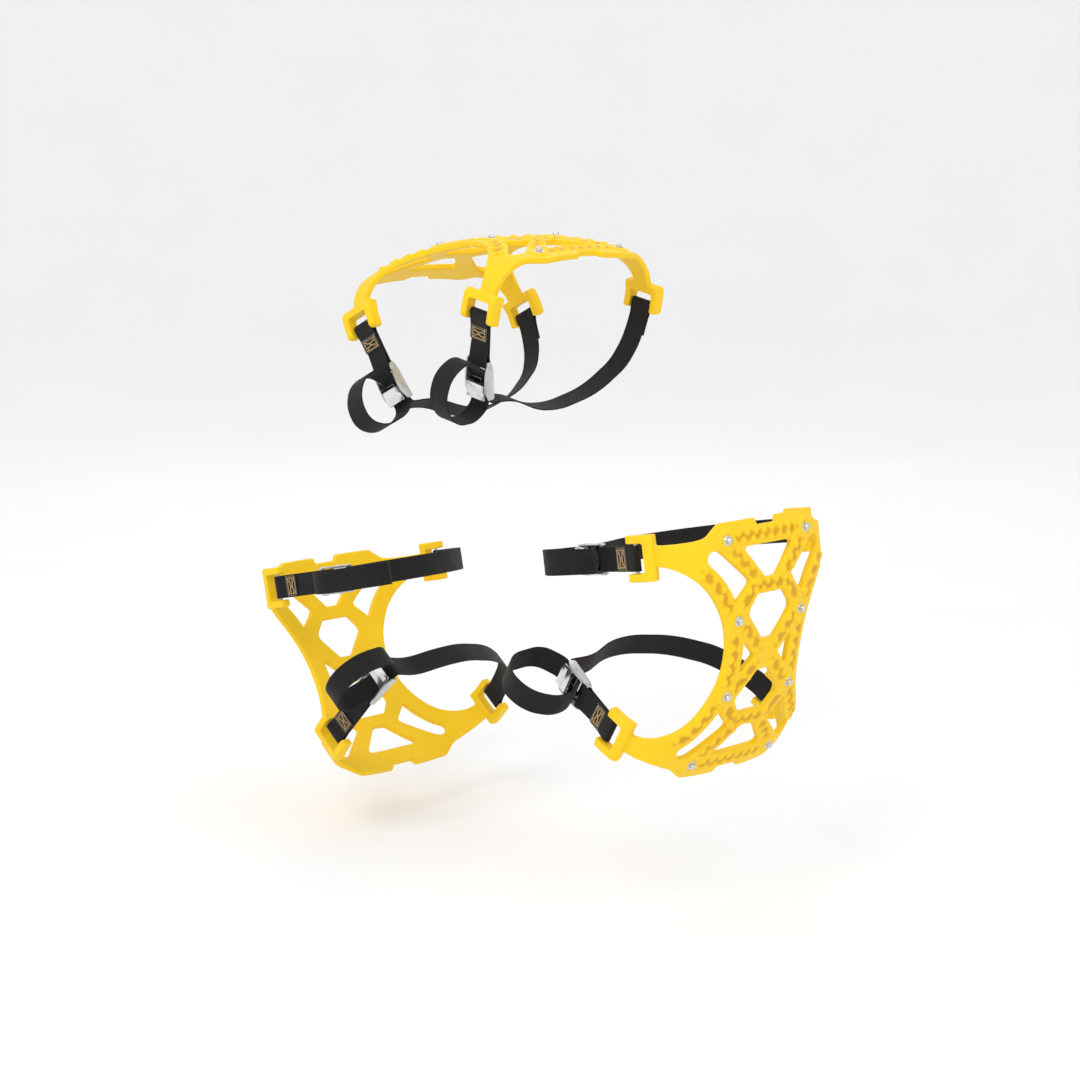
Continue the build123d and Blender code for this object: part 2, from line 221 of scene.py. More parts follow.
def yellow_plastic():
    shader = Shader("yellow_plastic", IOR=1.5, Specular_IOR_Level=0.28)
    shader.set("Subsurface Weight", 0.12)
    shader.set("Subsurface Radius", (0.006, 0.003, 0.0006))
    relief = shader.attribute("relief")
    cloud = shader.noise(28.0, 4.0)
    # Painted shade: the colour darkens to the pit colour where the stored light level falls, in the pits
    # between lobes.
    colour = shader.mix(relief.between(0.0, 0.95), PAINTED_PIT_SHADE, BRIGHT)
    colour = shader.mix(cloud.between(0.45, 0.75) * 0.35, colour, DEEP)
    # The paler tint goes only where no painted shade lies, so it fades at the edges of the pits.
    colour = shader.mix(relief.between(0.9, 1.0) * 0.3, colour, PALE)
    shader.set("Base Color", colour)
    grain = shader.noise(1400.0, 2.0)
    flow = shader.noise(60.0, 3.0)
    shader.set("Roughness", 0.36 + 0.14 * grain + 0.10 * flow)
    rough = shader.bump(grain, 0.00012, 0.5)
    shader.set("Normal", shader.bump(flow, 0.0006, 0.35, rough))
    return shader.material


YELLOW = yellow_plastic()
print("plastic nodes:", len(YELLOW.node_tree.nodes))

# %% [markdown]
# ## The steels
#
# Five finishes are needed. The studs are hardened steel. The pins are zinc plated and a little dull. The
# buckle's frame and its thumb plate are bright plated: nearly a mirror, but with the faint waviness and
# hairlines that stamping and handling leave. The springs are dark wire. One function makes them all,
# because they differ only in colour, polish, how deep the hairlines are, and how tarnished they are.

# %% Metals
def metal(name, colour, polish, hairlines, tarnish):
    shader = Shader(name, Metallic=1.0)
    stretched = shader.add("ShaderNodeMapping", {}, dict(Vector=shader.place(), Scale=(900.0, 60.0, 900.0)))
    scratch = shader.add("ShaderNodeTexNoise", {}, dict(Vector=stretched, Scale=1.0, Detail=2.0))
    patch = shader.noise(220.0, 3.0)
    shade = tuple(value * (1 - tarnish) for value in colour[:3]) + (1.0,)
    shader.set("Base Color", shader.mix(patch.between(0.45, 0.75), colour, shade))
    shader.set("Roughness", polish + hairlines * scratch + 0.12 * patch)
    wave = shader.bump(patch, 0.0002, 0.06)
    shader.set("Normal", shader.bump(scratch, 0.00005, 0.25 + hairlines, wave))
    return shader.material


STUD_STEEL = metal("stud_steel", (0.66, 0.68, 0.71, 1.0), 0.16, 0.12, 0.25)
PIN_STEEL = metal("pin_steel", (0.56, 0.57, 0.59, 1.0), 0.26, 0.16, 0.20)
FRAME_PLATING = metal("buckle_plating", (0.60, 0.61, 0.63, 1.0), 0.20, 0.10, 0.10)
LEVER_PLATING = metal("lever_plating", (0.74, 0.75, 0.76, 1.0), 0.13, 0.08, 0.06)
SPRING_STEEL = metal("spring_steel", (0.34, 0.34, 0.36, 1.0), 0.22, 0.10, 0.20)
print("materials so far:", len(bpy.data.materials))

# %% [markdown]
# ## Woven webbing
#
# Car-luggage webbing is a thick plain weave: fat warp yarns run along the strap in slanted chevrons and
# the hidden weft makes a fine cross rib. Real yarns would need millions of triangles, so the weave is a
# height pattern. It reads the strap's own map, whose two coordinates run across and along it in metres, so
# that the yarns turn with every loop. Black polyester is never quite black: it catches light as sheen.

# %% Webbing
WARP = 0.00155                 # spacing of the warp yarns across the strap
PICK = 0.00210                 # length of one slanted yarn float


def webbing():
    shader = Shader("black_webbing", Sheen_Weight=0.08, Sheen_Roughness=0.4, Specular_IOR_Level=0.25)
    across, along = shader.surface_map()
    yarn = across / WARP
    tilt = (yarn * 0.5).fraction().between(0.48, 0.52) * 2.0 - 1.0
    rib = (yarn * pi).sine().absolute()
    slant = (along / PICK + tilt * yarn.fraction() * 0.8)
    float_height = (slant * pi).sine().absolute()
    weave = rib.power(0.6) * (float_height.power(0.7) * 0.75 + 0.25)
    fuzz = shader.noise(2600.0, 2.0)
    # Darker gaps and lighter yarn tops: painted shade that follows the weave's height, mixed with random
    # fibre tone from the fuzz.
    yarn_gap_shade, lit_yarn_top = (0.0035, 0.0035, 0.0037, 1.0), (0.016, 0.016, 0.0165, 1.0)
    shader.set("Base Color", shader.mix((weave * 0.8 + fuzz * 0.3 - 0.1).clamped(), yarn_gap_shade, lit_yarn_top))
    shader.set("Roughness", 0.72 + 0.2 * fuzz)
    shader.set("Normal", shader.bump(weave + fuzz * 0.15, 0.00035, 0.8))
    return shader.material


def thread(name, colour):
    """Bonded sewing thread: a twisted cord with a slight shine."""
    shader = Shader(name, Sheen_Weight=0.2)
    fibre = shader.noise(3000.0, 2.0)
    darker = tuple(value * 0.55 for value in colour[:3]) + (1.0,)
    shader.set("Base Color", shader.mix(fibre, darker, colour))
    shader.set("Roughness", 0.5 + 0.2 * fibre)
    return shader.material


WEBBING = webbing()
TAN_THREAD = thread("tan_thread", (0.80, 0.53, 0.20, 1.0))
GREY_THREAD = thread("grey_thread", (0.40, 0.37, 0.31, 1.0))
print("materials:", len(bpy.data.materials))

# %% [markdown]
# ## The tyre that isn't there
#
# The plates take their curve from the tyre under them: a nearly flat crown, a tight shoulder and a flat
# sidewall. The flat pattern of a plate has three coordinates: `m` across the tread, `s` round the tyre and
# `h` above its surface. `wrap` bends that pattern over the tyre. All modelling is done flat, as a pattern
# maker would, and bent at the end, which keeps thicknesses and bump sizes true everywhere.

# %% Bending a flat pattern over the tyre
TREAD = 327.0                  # radius of the tread
HALF_SECTION = 113.4           # half width at the sidewalls
CROWN_FLAT, CROWN, SHOULDER = 10.0, 400.0, 48.0
PATTERN_HEIGHT = 10.0          # the pattern is measured this far above the tyre
PATTERN_RADIUS = TREAD + 7.0
shoulder_y = HALF_SECTION - SHOULDER
crown_turn = asin((shoulder_y - CROWN_FLAT) / (CROWN - SHOULDER))
shoulder_r = TREAD - CROWN + (CROWN - SHOULDER) * cos(crown_turn)
crown_end = CROWN_FLAT + (CROWN + PATTERN_HEIGHT) * crown_turn
bulge_at = crown_end + (SHOULDER + PATTERN_HEIGHT) * (pi / 2 - crown_turn)
CLIP_ARC = PATTERN_RADIUS * radians(half_spread)
BAR_START, BAR_DEPTH, LEG_END = 139.0, 10.0, 170.0    # m of a clip's crossbar, and of its legs' tips
CLIP_LEVEL = 8.0               # where a clip's width is measured, above the tyre
STRAIGHT_FROM, STRAIGHT_OVER = 105.0, 30.0            # m from which an arm straightens into its clip


def meridian(m, h):
    """Radius and y at m across the tyre and h above it."""
    side, m = np.sign(m), np.abs(m)
    crown = np.clip((m - CROWN_FLAT) / (CROWN + PATTERN_HEIGHT), 0, crown_turn)
    turn = np.clip((m - crown_end) / (SHOULDER + PATTERN_HEIGHT), 0, pi / 2 - crown_turn) + crown_turn
    on_crown = m <= crown_end
    r = np.where(on_crown, TREAD - CROWN + (CROWN + h) * np.cos(crown),
                 shoulder_r + (SHOULDER + h) * np.cos(turn) - np.maximum(m - bulge_at, 0))
    y = np.where(on_crown, np.minimum(m, CROWN_FLAT) + (CROWN + h) * np.sin(crown),
                 shoulder_y + (SHOULDER + h) * np.sin(turn))
    return r, side * y


def around_tyre(points, angle):
    """Turn points made at angle 0, with x as radius and z round the tyre, to their place."""
    x, y, z = np.array(points, float).T
    a = radians(angle)
    return np.stack([x * cos(a) - z * sin(a), y, x * sin(a) + z * cos(a)], 1)


# A clip sits nearer the wheel's axis than the tread does, so its width in the pattern is scaled by this.
clip_scale = meridian(np.full(1, BAR_START), CLIP_LEVEL)[0][0] / PATTERN_RADIUS


def soft_step(share):
    """0 to 1 with a soft start and end."""
    return share * share * (3 - 2 * share)


def wrap(pattern, angle):
    """Bend points (m, s, h) over the tyre, round the unit at that angle. The clips stay straight."""
    m, s, h = pattern.T
    r, y = meridian(m, h)
    bend = s / PATTERN_RADIUS
    bent = np.stack([r * np.cos(bend), r * np.sin(bend)], 1)
    clip = np.sign(s) * radians(half_spread)
    beside = (s - np.sign(s) * CLIP_ARC) * clip_scale
    straight = np.stack([r * np.cos(clip) - beside * np.sin(clip),
                         r * np.sin(clip) + beside * np.cos(clip)], 1)
    share = soft_step(np.clip((np.abs(m) - STRAIGHT_FROM) / STRAIGHT_OVER, 0, 1))[:, None]
    x, z = (bent * (1 - share) + straight * share).T
    return around_tyre(np.stack([x, y, z], 1), angle)


print("crown turns %.1f degrees, clips are %.1f mm apart" % (degrees(crown_turn), 2 * CLIP_ARC))

# %% [markdown]
# ## Rounded outlines
#
# Nearly every flat shape here is straight runs joined by arcs: the plate's windows, the buckle's ears, and
# the line that a strap follows through the wheel. One function turns corner points and radii into such a
# line. A closed outline is sampled coarsely, and a strap's line finely, so that it bends well.

# %% Lines with rounded corners
def rounded(points, radii, closed=True, step=None, arc_step=radians(12)):
    """Sample straight runs joined by arcs. With a step, the straight runs are divided as well."""
    points = [np.array(p, float) for p in points]
    count = len(points)
    corners = range(count) if closed else range(1, count - 1)
    if not hasattr(radii, "__len__"):
        radii = [radii] * len(corners)
    line = [] if closed else [points[0]]
    for radius, i in zip(radii, corners):
        before, corner, after = points[i - 1], points[i], points[(i + 1) % count]
        inward = (corner - before) / np.linalg.norm(corner - before)
        outward = (after - corner) / np.linalg.norm(after - corner)
        turn = atan2(inward[0] * outward[1] - inward[1] * outward[0], float(inward @ outward))
        if radius <= 0 or abs(turn) < 1e-6:
            line.append(corner)
            continue
        start = corner - inward * radius * tan(abs(turn) / 2)
        side = 1 if turn > 0 else -1
        centre = start + np.array([-inward[1], inward[0]]) * radius * side
        pieces = max(2, int(abs(turn) / arc_step) + 1)
        if step:
            pieces = max(pieces, int(radius * abs(turn) / step) + 1)
        spoke = start - centre
        for k in range(pieces + 1):
            a = turn * k / pieces
            line.append(centre + np.array([spoke[0] * cos(a) - spoke[1] * sin(a),
                                           spoke[0] * sin(a) + spoke[1] * cos(a)]))
    if not closed:
        line.append(points[-1])
    if step:
        fine = [line[0]]
        for a, b in zip(line, line[1:]):
            parts = max(1, int(np.linalg.norm(b - a) / step + 0.5))
            fine += [a + (b - a) * k / parts for k in range(1, parts + 1)]
        line = fine
    return np.array(line)


def soft_radii(points, share=0.45):
    """The largest easy radius at each inner corner of an open line."""
    radii = []
    points = [np.array(p, float) for p in points]
    for a, b, c in zip(points, points[1:], points[2:]):
        before, after = b - a, c - b
        lengths = np.linalg.norm(before), np.linalg.norm(after)
        turn = np.arccos(np.clip(before @ after / lengths[0] / lengths[1], -1, 1))
        radii.append(share * min(lengths) / tan(turn / 2))
    return radii


print("a rounded square has", len(rounded([(0, 0), (10, 0), (10, 10), (0, 10)], 2)), "points")

# %% [markdown]
# ## The plate's flat pattern
#
# The plate is the same in all four quarters, so only one quarter of its outline is drawn: the end with its
# raised tab and shallow notch, the corner, the waisted arm, and the big arc between the arms. The windows
# are drawn the same way. Mirroring makes the rest.

# %% Outline and windows
END_TAB, END_NOTCH, NOTCH, TAB = 137.0, 130.0, 15.0, 66.0
ARC_CENTRE, ARC_RADIUS, SIDE_RIB = 162.0, 104.0, 21.0
ARM_ROOT, ARM_TIP, ARM_TIP_WIDTH = (78, 129), BAR_START + 4, 25.5
PLATE_GAP, PLATE_THICKNESS = 1.5, 6.5
PLATE_TOP = PLATE_GAP + PLATE_THICKNESS


def arc_point(radius, s):
    """m of a point at s on an arc about the centre of the big side arc."""
    return ARC_CENTRE - sqrt(radius**2 - s * s)


def smooth_through(points, parts=6):
    """A Catmull-Rom curve through given points."""
    p = [np.array(q, float) for q in points]
    p = [2 * p[0] - p[1]] + p + [2 * p[-1] - p[-2]]
    line = []
    for a, b, c, d in zip(p, p[1:], p[2:], p[3:]):
        for k in range(parts):
            t = k / parts
            line.append(0.5 * (2 * b + (c - a) * t + (2 * a - 5 * b + 4 * c - d) * t**2
                               + (3 * b - a - 3 * c + d) * t**3))
    return line + [p[-2]]


def plate_outline():
    end = rounded([(0, END_NOTCH), (NOTCH, END_NOTCH), (NOTCH + 3, END_TAB), (TAB, END_TAB), ARM_ROOT],
                  [1.5, 2.5, 5], closed=False)
    arm = smooth_through([ARM_ROOT, (86, 124.8), (100, 123), (120, 123.2),
                          (ARM_TIP, CLIP_ARC + ARM_TIP_WIDTH / 2)])
    last = sqrt(ARC_RADIUS**2 - (ARC_CENTRE - ARM_TIP) ** 2)
    side = [np.array((arc_point(ARC_RADIUS, s), s)) for s in np.linspace(last, 0, 24)]
    quarter = list(end[1:]) + arm[1:] + side[:-1]
    upper = quarter + [side[-1]] + [q * (1, -1) for q in reversed(quarter)]
    return np.array(upper + [q * (-1, 1) for q in reversed(upper[1:-1])])


def windows():
    """Every opening of the plate."""
    inside = ARC_RADIUS + SIDE_RIB
    arc = [(arc_point(inside, s), s) for s in np.linspace(57, 97, 10)]
    slot_end = rounded([arc[-1], (88.5, 103.5), (79, 111.5), (69.5, 109), (51, 94)], [7, 6, 5], closed=False)
    slot_tip = rounded([(51, 94), (30.2, 76), arc[0]], [3.5], closed=False)
    slot = np.array(arc + list(slot_end[1:-1]) + list(slot_tip[1:-1]))
    end = rounded([(-39.5, 110.5), (39.5, 110.5), (9, 78), (-9, 78)], 3)
    middle = rounded([(-20, 62.5), (20, 62.5), (34, 45), (9, 16), (-9, 16), (-34, 45)], [4, 4, 8, 3, 3, 8])
    side = rounded([(36, 17), (36, -17), (18, 0)], 1.8)
    found = [end, middle, end * (1, -1), middle * (1, -1), side, side * (-1, 1)]
    return found + [slot * (a, b) for a in (1, -1) for b in (1, -1)]


print("outline points:", len(plate_outline()), "windows:", len(windows()))

# %% [markdown]
# ## From points to pieces
#
# A mesh is a list of points and a list of faces. These helpers turn arrays of points into objects, make
# modifiers plain, and keep every face pointing outwards. Two shapes come up again and again: a prism, which
# is an outline pushed along, and a turned piece, which is a profile spun round an axis as on a lathe.

# %% Mesh helpers
import bmesh

scene = bpy.context.scene


def add_object(name, data):
    piece = bpy.data.objects.new(name, data)
    scene.collection.objects.link(piece)
    return piece


def solid(name, points, faces, material=None, unit=MM):
    """An object from points and faces, with its doubles merged and its faces outwards."""
    mesh = bpy.data.meshes.new(name)
    mesh.from_pydata((np.array(points) * unit).tolist(), [], [list(map(int, face)) for face in faces])
    edit = bmesh.new()
    edit.from_mesh(mesh)
    bmesh.ops.remove_doubles(edit, verts=edit.verts, dist=unit * 1e-3)
    bmesh.ops.recalc_face_normals(edit, faces=edit.faces)
    edit.to_mesh(mesh)
    edit.free()
    if material:
        mesh.materials.append(material)
    return add_object(name, mesh)


def plain(piece):
    """The piece with its modifiers made real. A curve comes back as a mesh."""
    bpy.context.view_layer.update()
    graph = bpy.context.evaluated_depsgraph_get()
    mesh = bpy.data.meshes.new_from_object(piece.evaluated_get(graph), depsgraph=graph)
    if piece.type == "MESH":
        piece.modifiers.clear()
        piece.data = mesh
        return piece
    name = piece.name
    bpy.data.objects.remove(piece)
    return add_object(name, mesh)


def with_modifier(piece, kind, **settings):
    modifier = piece.modifiers.new(kind.lower(), kind)
    for key, value in settings.items():
        setattr(modifier, key, value)
    return piece


def drop_object(*pieces):
    for piece in pieces:
        bpy.data.objects.remove(piece)


def smooth(piece, angle=40):
    """Smooth shading, with edges sharper than the angle kept crisp."""
    edit = bmesh.new()
    edit.from_mesh(piece.data)
    for face in edit.faces:
        face.smooth = True
    for edge in edit.edges:
        edge.smooth = not (len(edge.link_faces) == 2 and edge.calc_face_angle(0) > radians(angle))
    edit.to_mesh(piece.data)
    edit.free()
    return piece


def prism(outline, low, high):
    """An outline in x and y pushed from low to high along z, as points and faces."""
    outline = np.array(outline, float)
    count = len(outline)
    points = np.vstack([np.column_stack([outline, np.full(count, z)]) for z in (low, high)])
    faces = [list(range(count))[::-1], list(range(count, 2 * count))]
    faces += [[i, (i + 1) % count, (i + 1) % count + count, i + count] for i in range(count)]
    return points, faces


def turned_piece(profile, sides=32):
    """A profile of (radius, height), from axis to axis, spun round z."""
    rings, faces = [], []
    for radius, height in profile:
        a = np.arange(sides) * 2 * pi / sides
        rings.append(np.column_stack([radius * np.cos(a), radius * np.sin(a), np.full(sides, float(height))]))
    for k in range(len(profile) - 1):
        for i in range(sides):
            j = (i + 1) % sides
            faces.append([k * sides + i, k * sides + j, (k + 1) * sides + j, (k + 1) * sides + i])
    return np.vstack(rings), faces


def combined(first, second, operation="UNION"):
    """Boolean of two objects. The second is used up."""
    with_modifier(first, "BOOLEAN", object=second, operation=operation, solver="EXACT")
    plain(first)
    drop_object(second)
    return first


def moved_copy(piece, name, place, material):
    """A copy of a piece made in its own millimetres, with every point put in place."""
    mesh = piece.data.copy()
    points = np.zeros(len(mesh.vertices) * 3)
    mesh.vertices.foreach_get("co", points)
    mesh.vertices.foreach_set("co", (place(points.reshape(-1, 3)) * MM).ravel())
    mesh.update()
    mesh.materials.clear()
    mesh.materials.append(material)
    return add_object(name, mesh)


print("a square prism has", len(prism([(0, 0), (1, 0), (1, 1), (0, 1)], 0, 1)[1]), "faces")

# %% [markdown]
# ## A small language for geometry trees
#
# Bumps, studs and stitches all repeat. Modelling each by hand would be slow and stiff, so they are grown by
# Geometry Nodes: a tree takes a line or some points, and puts one small shape at each. The class below adds
# nodes in reading order. Its sizes are named inputs, so the same tree serves other spacings.

# %% Geometry trees
class Tree:
    """A Geometry Nodes tree with named inputs."""

    KINDS = {float: "NodeSocketFloat", "object": "NodeSocketObject", "material": "NodeSocketMaterial"}

    def __init__(self, name, **inputs):
        self.group = bpy.data.node_groups.new(name, "GeometryNodeTree")
        sockets = self.group.interface
        sockets.new_socket("Geometry", in_out="INPUT", socket_type="NodeSocketGeometry")
        sockets.new_socket("Geometry", in_out="OUTPUT", socket_type="NodeSocketGeometry")
        for key, kind in inputs.items():
            sockets.new_socket(key, in_out="INPUT", socket_type=self.KINDS[kind])
        self.start = self.group.nodes.new("NodeGroupInput")
        self.end = self.group.nodes.new("NodeGroupOutput")

    def given(self, name):
        return self.start.outputs[name]

    def add(self, kind, settings=None, output=0, **inputs):
        """Any node. A keyword names a socket, with _ for a space, or i and a number for its place.

        A socket is linked, a list of sockets is joined, and anything else is set as a constant."""
        node = self.group.nodes.new(kind)
        for key, value in (settings or {}).items():
            setattr(node, key, value)
        for key, value in inputs.items():
            place = int(key[1:]) if key[0] == "i" and key[1:].isdigit() else key.replace("_", " ")
            sources = value if isinstance(value, list) else [value]
            for source in sources:
                if isinstance(source, bpy.types.NodeSocket):
                    self.group.links.new(source, node.inputs[place])
                else:
                    node.inputs[place].default_value = source
        return node.outputs[output]

    def scaled(self, value, factor):
        """A number times another."""
        return self.add("ShaderNodeMath", dict(operation="MULTIPLY"), i0=value, i1=factor)

    def walk(self, path):
        """Points along a path, one every Pitch, and the path's direction at each."""
        points = self.add("GeometryNodeCurveToPoints", dict(mode="LENGTH"), Curve=path,
                          Length=self.given("Pitch"))
        return points, points.node.outputs["Tangent"]

    def finish(self, geometry):
        """End in real geometry with its material."""
        real = self.add("GeometryNodeRealizeInstances", Geometry=geometry)
        painted = self.add("GeometryNodeSetMaterial", Geometry=real, Material=self.given("Material"))
        self.group.links.new(painted, self.end.inputs[0])

    def grow(self, piece, **values):
        """Run the tree on a piece and make the result plain."""
        modifier = piece.modifiers.new("grow", "NODES")
        modifier.node_group = self.group
        sockets = [item for item in self.group.interface.items_tree if item.in_out == "INPUT"]
        names = {socket.name: socket.identifier for socket in sockets}
        for key, value in values.items():
            modifier[names[key]] = value
        return plain(piece)


def line_object(name, lines, unit=1.0):
    """Open polylines as a mesh of edges, for a tree to follow."""
    points, edges = [], []
    for line in lines:
        start = len(points)
        points += [tuple(np.array(p, float) * unit) for p in line]
        edges += [(i, i + 1) for i in range(start, len(points) - 1)]
    mesh = bpy.data.meshes.new(name)
    mesh.from_pydata(points, edges, [])
    return add_object(name, mesh)


print("kinds of tree input:", len(Tree.KINDS))

# %% [markdown]
# ## Lobes on the ribs
#
# The ribs grip snow with two rows of rounded lobes, set like the teeth of a zip: each lobe of one row faces
# a gap of the other. The tree walks along a rib's centre line and drops a lobe at every step, half a
# step later in the second row. The lobes splay a little, which makes the herringbone look of the real mould.

# %% Lobe tree
lobes = Tree("rib_lobes", Pitch=float, Row=float, Length=float, Width=float, Height=float, Splay=float,
             Material="material")
follow = lobes.add("GeometryNodeMeshToCurve", Mesh=lobes.given("Geometry"))
half_pitch = lobes.scaled(lobes.given("Pitch"), 0.5)
half_sizes = [lobes.scaled(lobes.given(key), 0.5) for key in ("Width", "Length", "Height")]
lobe_size = lobes.add("ShaderNodeCombineXYZ", X=half_sizes[0], Y=half_sizes[1], Z=half_sizes[2])
lobe = lobes.add("GeometryNodeMeshIcoSphere", Radius=1.0, Subdivisions=3)
WHOLE_CURVE = 1e6              # an end far past any rib's length
later = lobes.add("GeometryNodeTrimCurve", dict(mode="LENGTH"), Curve=follow, i4=half_pitch, i5=WHOLE_CURVE)
rows = []
for side, path in ((-1.0, follow), (1.0, later)):
    steps, tangent = lobes.walk(path)
    across = lobes.add("ShaderNodeVectorMath", dict(operation="CROSS_PRODUCT"), i0=tangent, i1=(0, 0, side))
    row = lobes.add("ShaderNodeVectorMath", dict(operation="SCALE"), i0=across, Scale=lobes.given("Row"))
    placed = lobes.add("GeometryNodeSetPosition", Geometry=steps, Offset=row)
    lined = lobes.add("FunctionNodeAlignRotationToVector", dict(axis="X"), Vector=tangent)
    splay = lobes.scaled(lobes.given("Splay"), side)
    turn = lobes.add("FunctionNodeAxisAngleToRotation", Axis=(0, 0, 1), Angle=splay)
    facing = lobes.add("FunctionNodeRotateRotation", dict(rotation_space="LOCAL"), Rotation=lined,
                       Rotate_By=turn)
    rows.append(lobes.add("GeometryNodeInstanceOnPoints", Points=placed, Instance=lobe, Rotation=facing,
                          Scale=lobe_size))
lobes.finish(lobes.add("GeometryNodeJoinGeometry", Geometry=rows))

LOBE = dict(Pitch=12.5, Row=4.0, Length=8.8, Width=8.6, Height=4.8, Splay=radians(20))


def rib_lines():
    """Centre lines of the ribs that carry lobes, over the whole pattern."""
    middle = ARC_RADIUS + SIDE_RIB / 2
    quarter = [
        [(50, 105.5), (22, 79)],
        [(27, 69), (41, 51)],
        [(38, 34), (14, 9)],
        [(arc_point(middle, s), s) for s in np.linspace(53, 90, 8)],
    ]
    lines = [[(a * m, b * s) for m, s in line] for line in quarter for a in (1, -1) for b in (1, -1)]
    lines += [[(-44, b * 120.5), (44, b * 120.5)] for b in (1, -1)]
    lines += [[(-19, b * 70.5), (19, b * 70.5)] for b in (1, -1)]
    lines += [[(a * arc_point(middle, s), s) for s in np.linspace(-25, 25, 7)] for a in (1, -1)]
    return lines


print("ribs with lobes:", len(rib_lines()))

# %% [markdown]
# ## One plate, in one skin
#
# A moulded part has no joints between its ribs, lobes and bosses: every inner corner has a small radius,
# because plastic has to flow and the part has to leave its mould. So the pattern is first piled up from
# simple solids, then covered by one skin with a voxel remesh, and then smoothed a little. That rounds every
# corner at once, as no chain of bevels could. How deep each point lies in a pit between lobes is stored for
# the plastic's colour, which paints shade in those pits.

# %% Plate pattern
STUDS = [(m * a, s * b) for m, s in ((60, 119), (48, 39)) for a in (-1, 1) for b in (-1, 1)]
BOSS_RADIUS, BOSS_TOP = 11.0, PLATE_TOP + 2
CLIP_TOP = PLATE_GAP + 14
CLIP_WIDTH, LEG_WIDTH = 45.0, 8.0
BOSS_DISH, BOSS_FLOOR = 7.2, 6.0     # radii of the shallow dish round a stud
VOXEL = 1.11                   # the finest skin that keeps a plate under 200,000 triangles


def slab():
    """The plate's pattern as a flat sheet of its thickness, in (m, s, h)."""
    curve = bpy.data.curves.new("plate_slab", "CURVE")
    curve.dimensions, curve.fill_mode, curve.extrude = "2D", "BOTH", PLATE_THICKNESS / 2
    for line in [plate_outline()] + windows():
        spline = curve.splines.new("POLY")
        spline.points.add(len(line) - 1)
        for point, (m, s) in zip(spline.points, line):
            point.co = (m, s, 0, 1)
        spline.use_cyclic_u = True
    sheet = plain(add_object("plate_slab", curve))
    sheet.data.transform(Matrix.Translation((0, 0, PLATE_GAP + PLATE_THICKNESS / 2)))
    return sheet


def clip_pieces():
    """Crossbars and legs of the four clips, each in (m, s, h)."""
    low = PLATE_GAP + 0.5
    bar = [(BAR_START, low - 0.5), (BAR_START, CLIP_TOP - 4), (BAR_START + 2, CLIP_TOP - 1.5),
           (BAR_START + BAR_DEPTH, CLIP_TOP - 1), (BAR_START + BAR_DEPTH, low)]
    leg = [(BAR_START + 1, low), (BAR_START + 1, CLIP_TOP - 3), (BAR_START + 5, CLIP_TOP),
           (LEG_END - 3, CLIP_TOP), (LEG_END, CLIP_TOP - 3), (LEG_END, low + 1)]
    half, leg_half = CLIP_WIDTH / 2 / clip_scale, LEG_WIDTH / 2 / clip_scale
    spans = [(bar, -half, half), (leg, -half, -half + 2 * leg_half), (leg, half - 2 * leg_half, half)]
    pieces = []
    for a in (1, -1):
        for b in (1, -1):
            for outline, start, end in spans:
                points, faces = prism(outline, start, end)
                m, h, s = points.T
                pieces.append((np.stack([a * m, b * (CLIP_ARC + s), h], 1), faces))
    return pieces


def boss_pieces():
    profile = [(0, 3), (BOSS_RADIUS + 0.6, 3), (BOSS_RADIUS, BOSS_TOP - 0.6),
               (BOSS_RADIUS - 1.2, BOSS_TOP + 0.2), (BOSS_DISH, BOSS_TOP + 0.2), (BOSS_FLOOR, BOSS_TOP - 0.9),
               (0, BOSS_TOP - 0.9)]
    points, faces = turned_piece(profile)
    return [(points + (m, s, 0), faces) for m, s in STUDS]


def painted_light_level_of(points, normals):
    """1 on smooth skin and on the tops of lobes, falling to 0 in the pits between lobes, where shade is
    painted.
    """
    flat, nearest = points[:, :2], np.full(len(points), np.inf)
    for line in rib_lines():
        line = np.array(line, float)
        for a, b in zip(line, line[1:]):
            t = np.clip((flat - a) @ (b - a) / ((b - a) @ (b - a)), 0, 1)
            nearest = np.minimum(nearest, np.linalg.norm(flat - a - t[:, None] * (b - a), axis=1))
    between_rows = 1 - np.clip((nearest - 2.5) / 4.0, 0, 1)
    facing = np.clip((normals[:, 2] - 0.3) / 0.4, 0, 1)
    height = np.clip((points[:, 2] - PLATE_TOP - 0.1) / 1.8, 0, 1)
    return 1 - between_rows * facing * (1 - height)


def plate_pattern():
    parts = [slab()]
    for points, faces in clip_pieces() + boss_pieces():
        parts.append(solid("pattern_piece", points, faces, unit=1.0))
    ribs = line_object("rib_lines", [[(m, s, PLATE_TOP - 0.1) for m, s in line] for line in rib_lines()])
    parts.append(lobes.grow(ribs, Material=YELLOW, **LOBE))
    mesh = bpy.data.meshes.new("plate_pattern")
    edit = bmesh.new()
    for part in parts:
        edit.from_mesh(part.data)
    edit.to_mesh(mesh)
    edit.free()
    drop_object(*parts)
    pattern = add_object("plate_pattern", mesh)
    with_modifier(pattern, "REMESH", mode="VOXEL", voxel_size=VOXEL, adaptivity=0.0)
    with_modifier(pattern, "SMOOTH", factor=0.5, iterations=3)
    return plain(pattern)


pattern = plate_pattern()
count = len(pattern.data.vertices)
flat_points, flat_normals = np.zeros((2, count * 3))
pattern.data.vertices.foreach_get("co", flat_points)
pattern.data.vertices.foreach_get("normal", flat_normals)
# The level of painted light at each point: where it is low, in the pits, the plastic's colour paints shade.
painted_light_values = painted_light_level_of(flat_points.reshape(-1, 3), flat_normals.reshape(-1, 3))
relief = pattern.data.attributes.new("relief", "FLOAT", "POINT")
relief.data.foreach_set("value", painted_light_values.astype(np.float32))
for polygon in pattern.data.polygons:
    polygon.use_smooth = True
print("plate faces:", len(pattern.data.polygons))

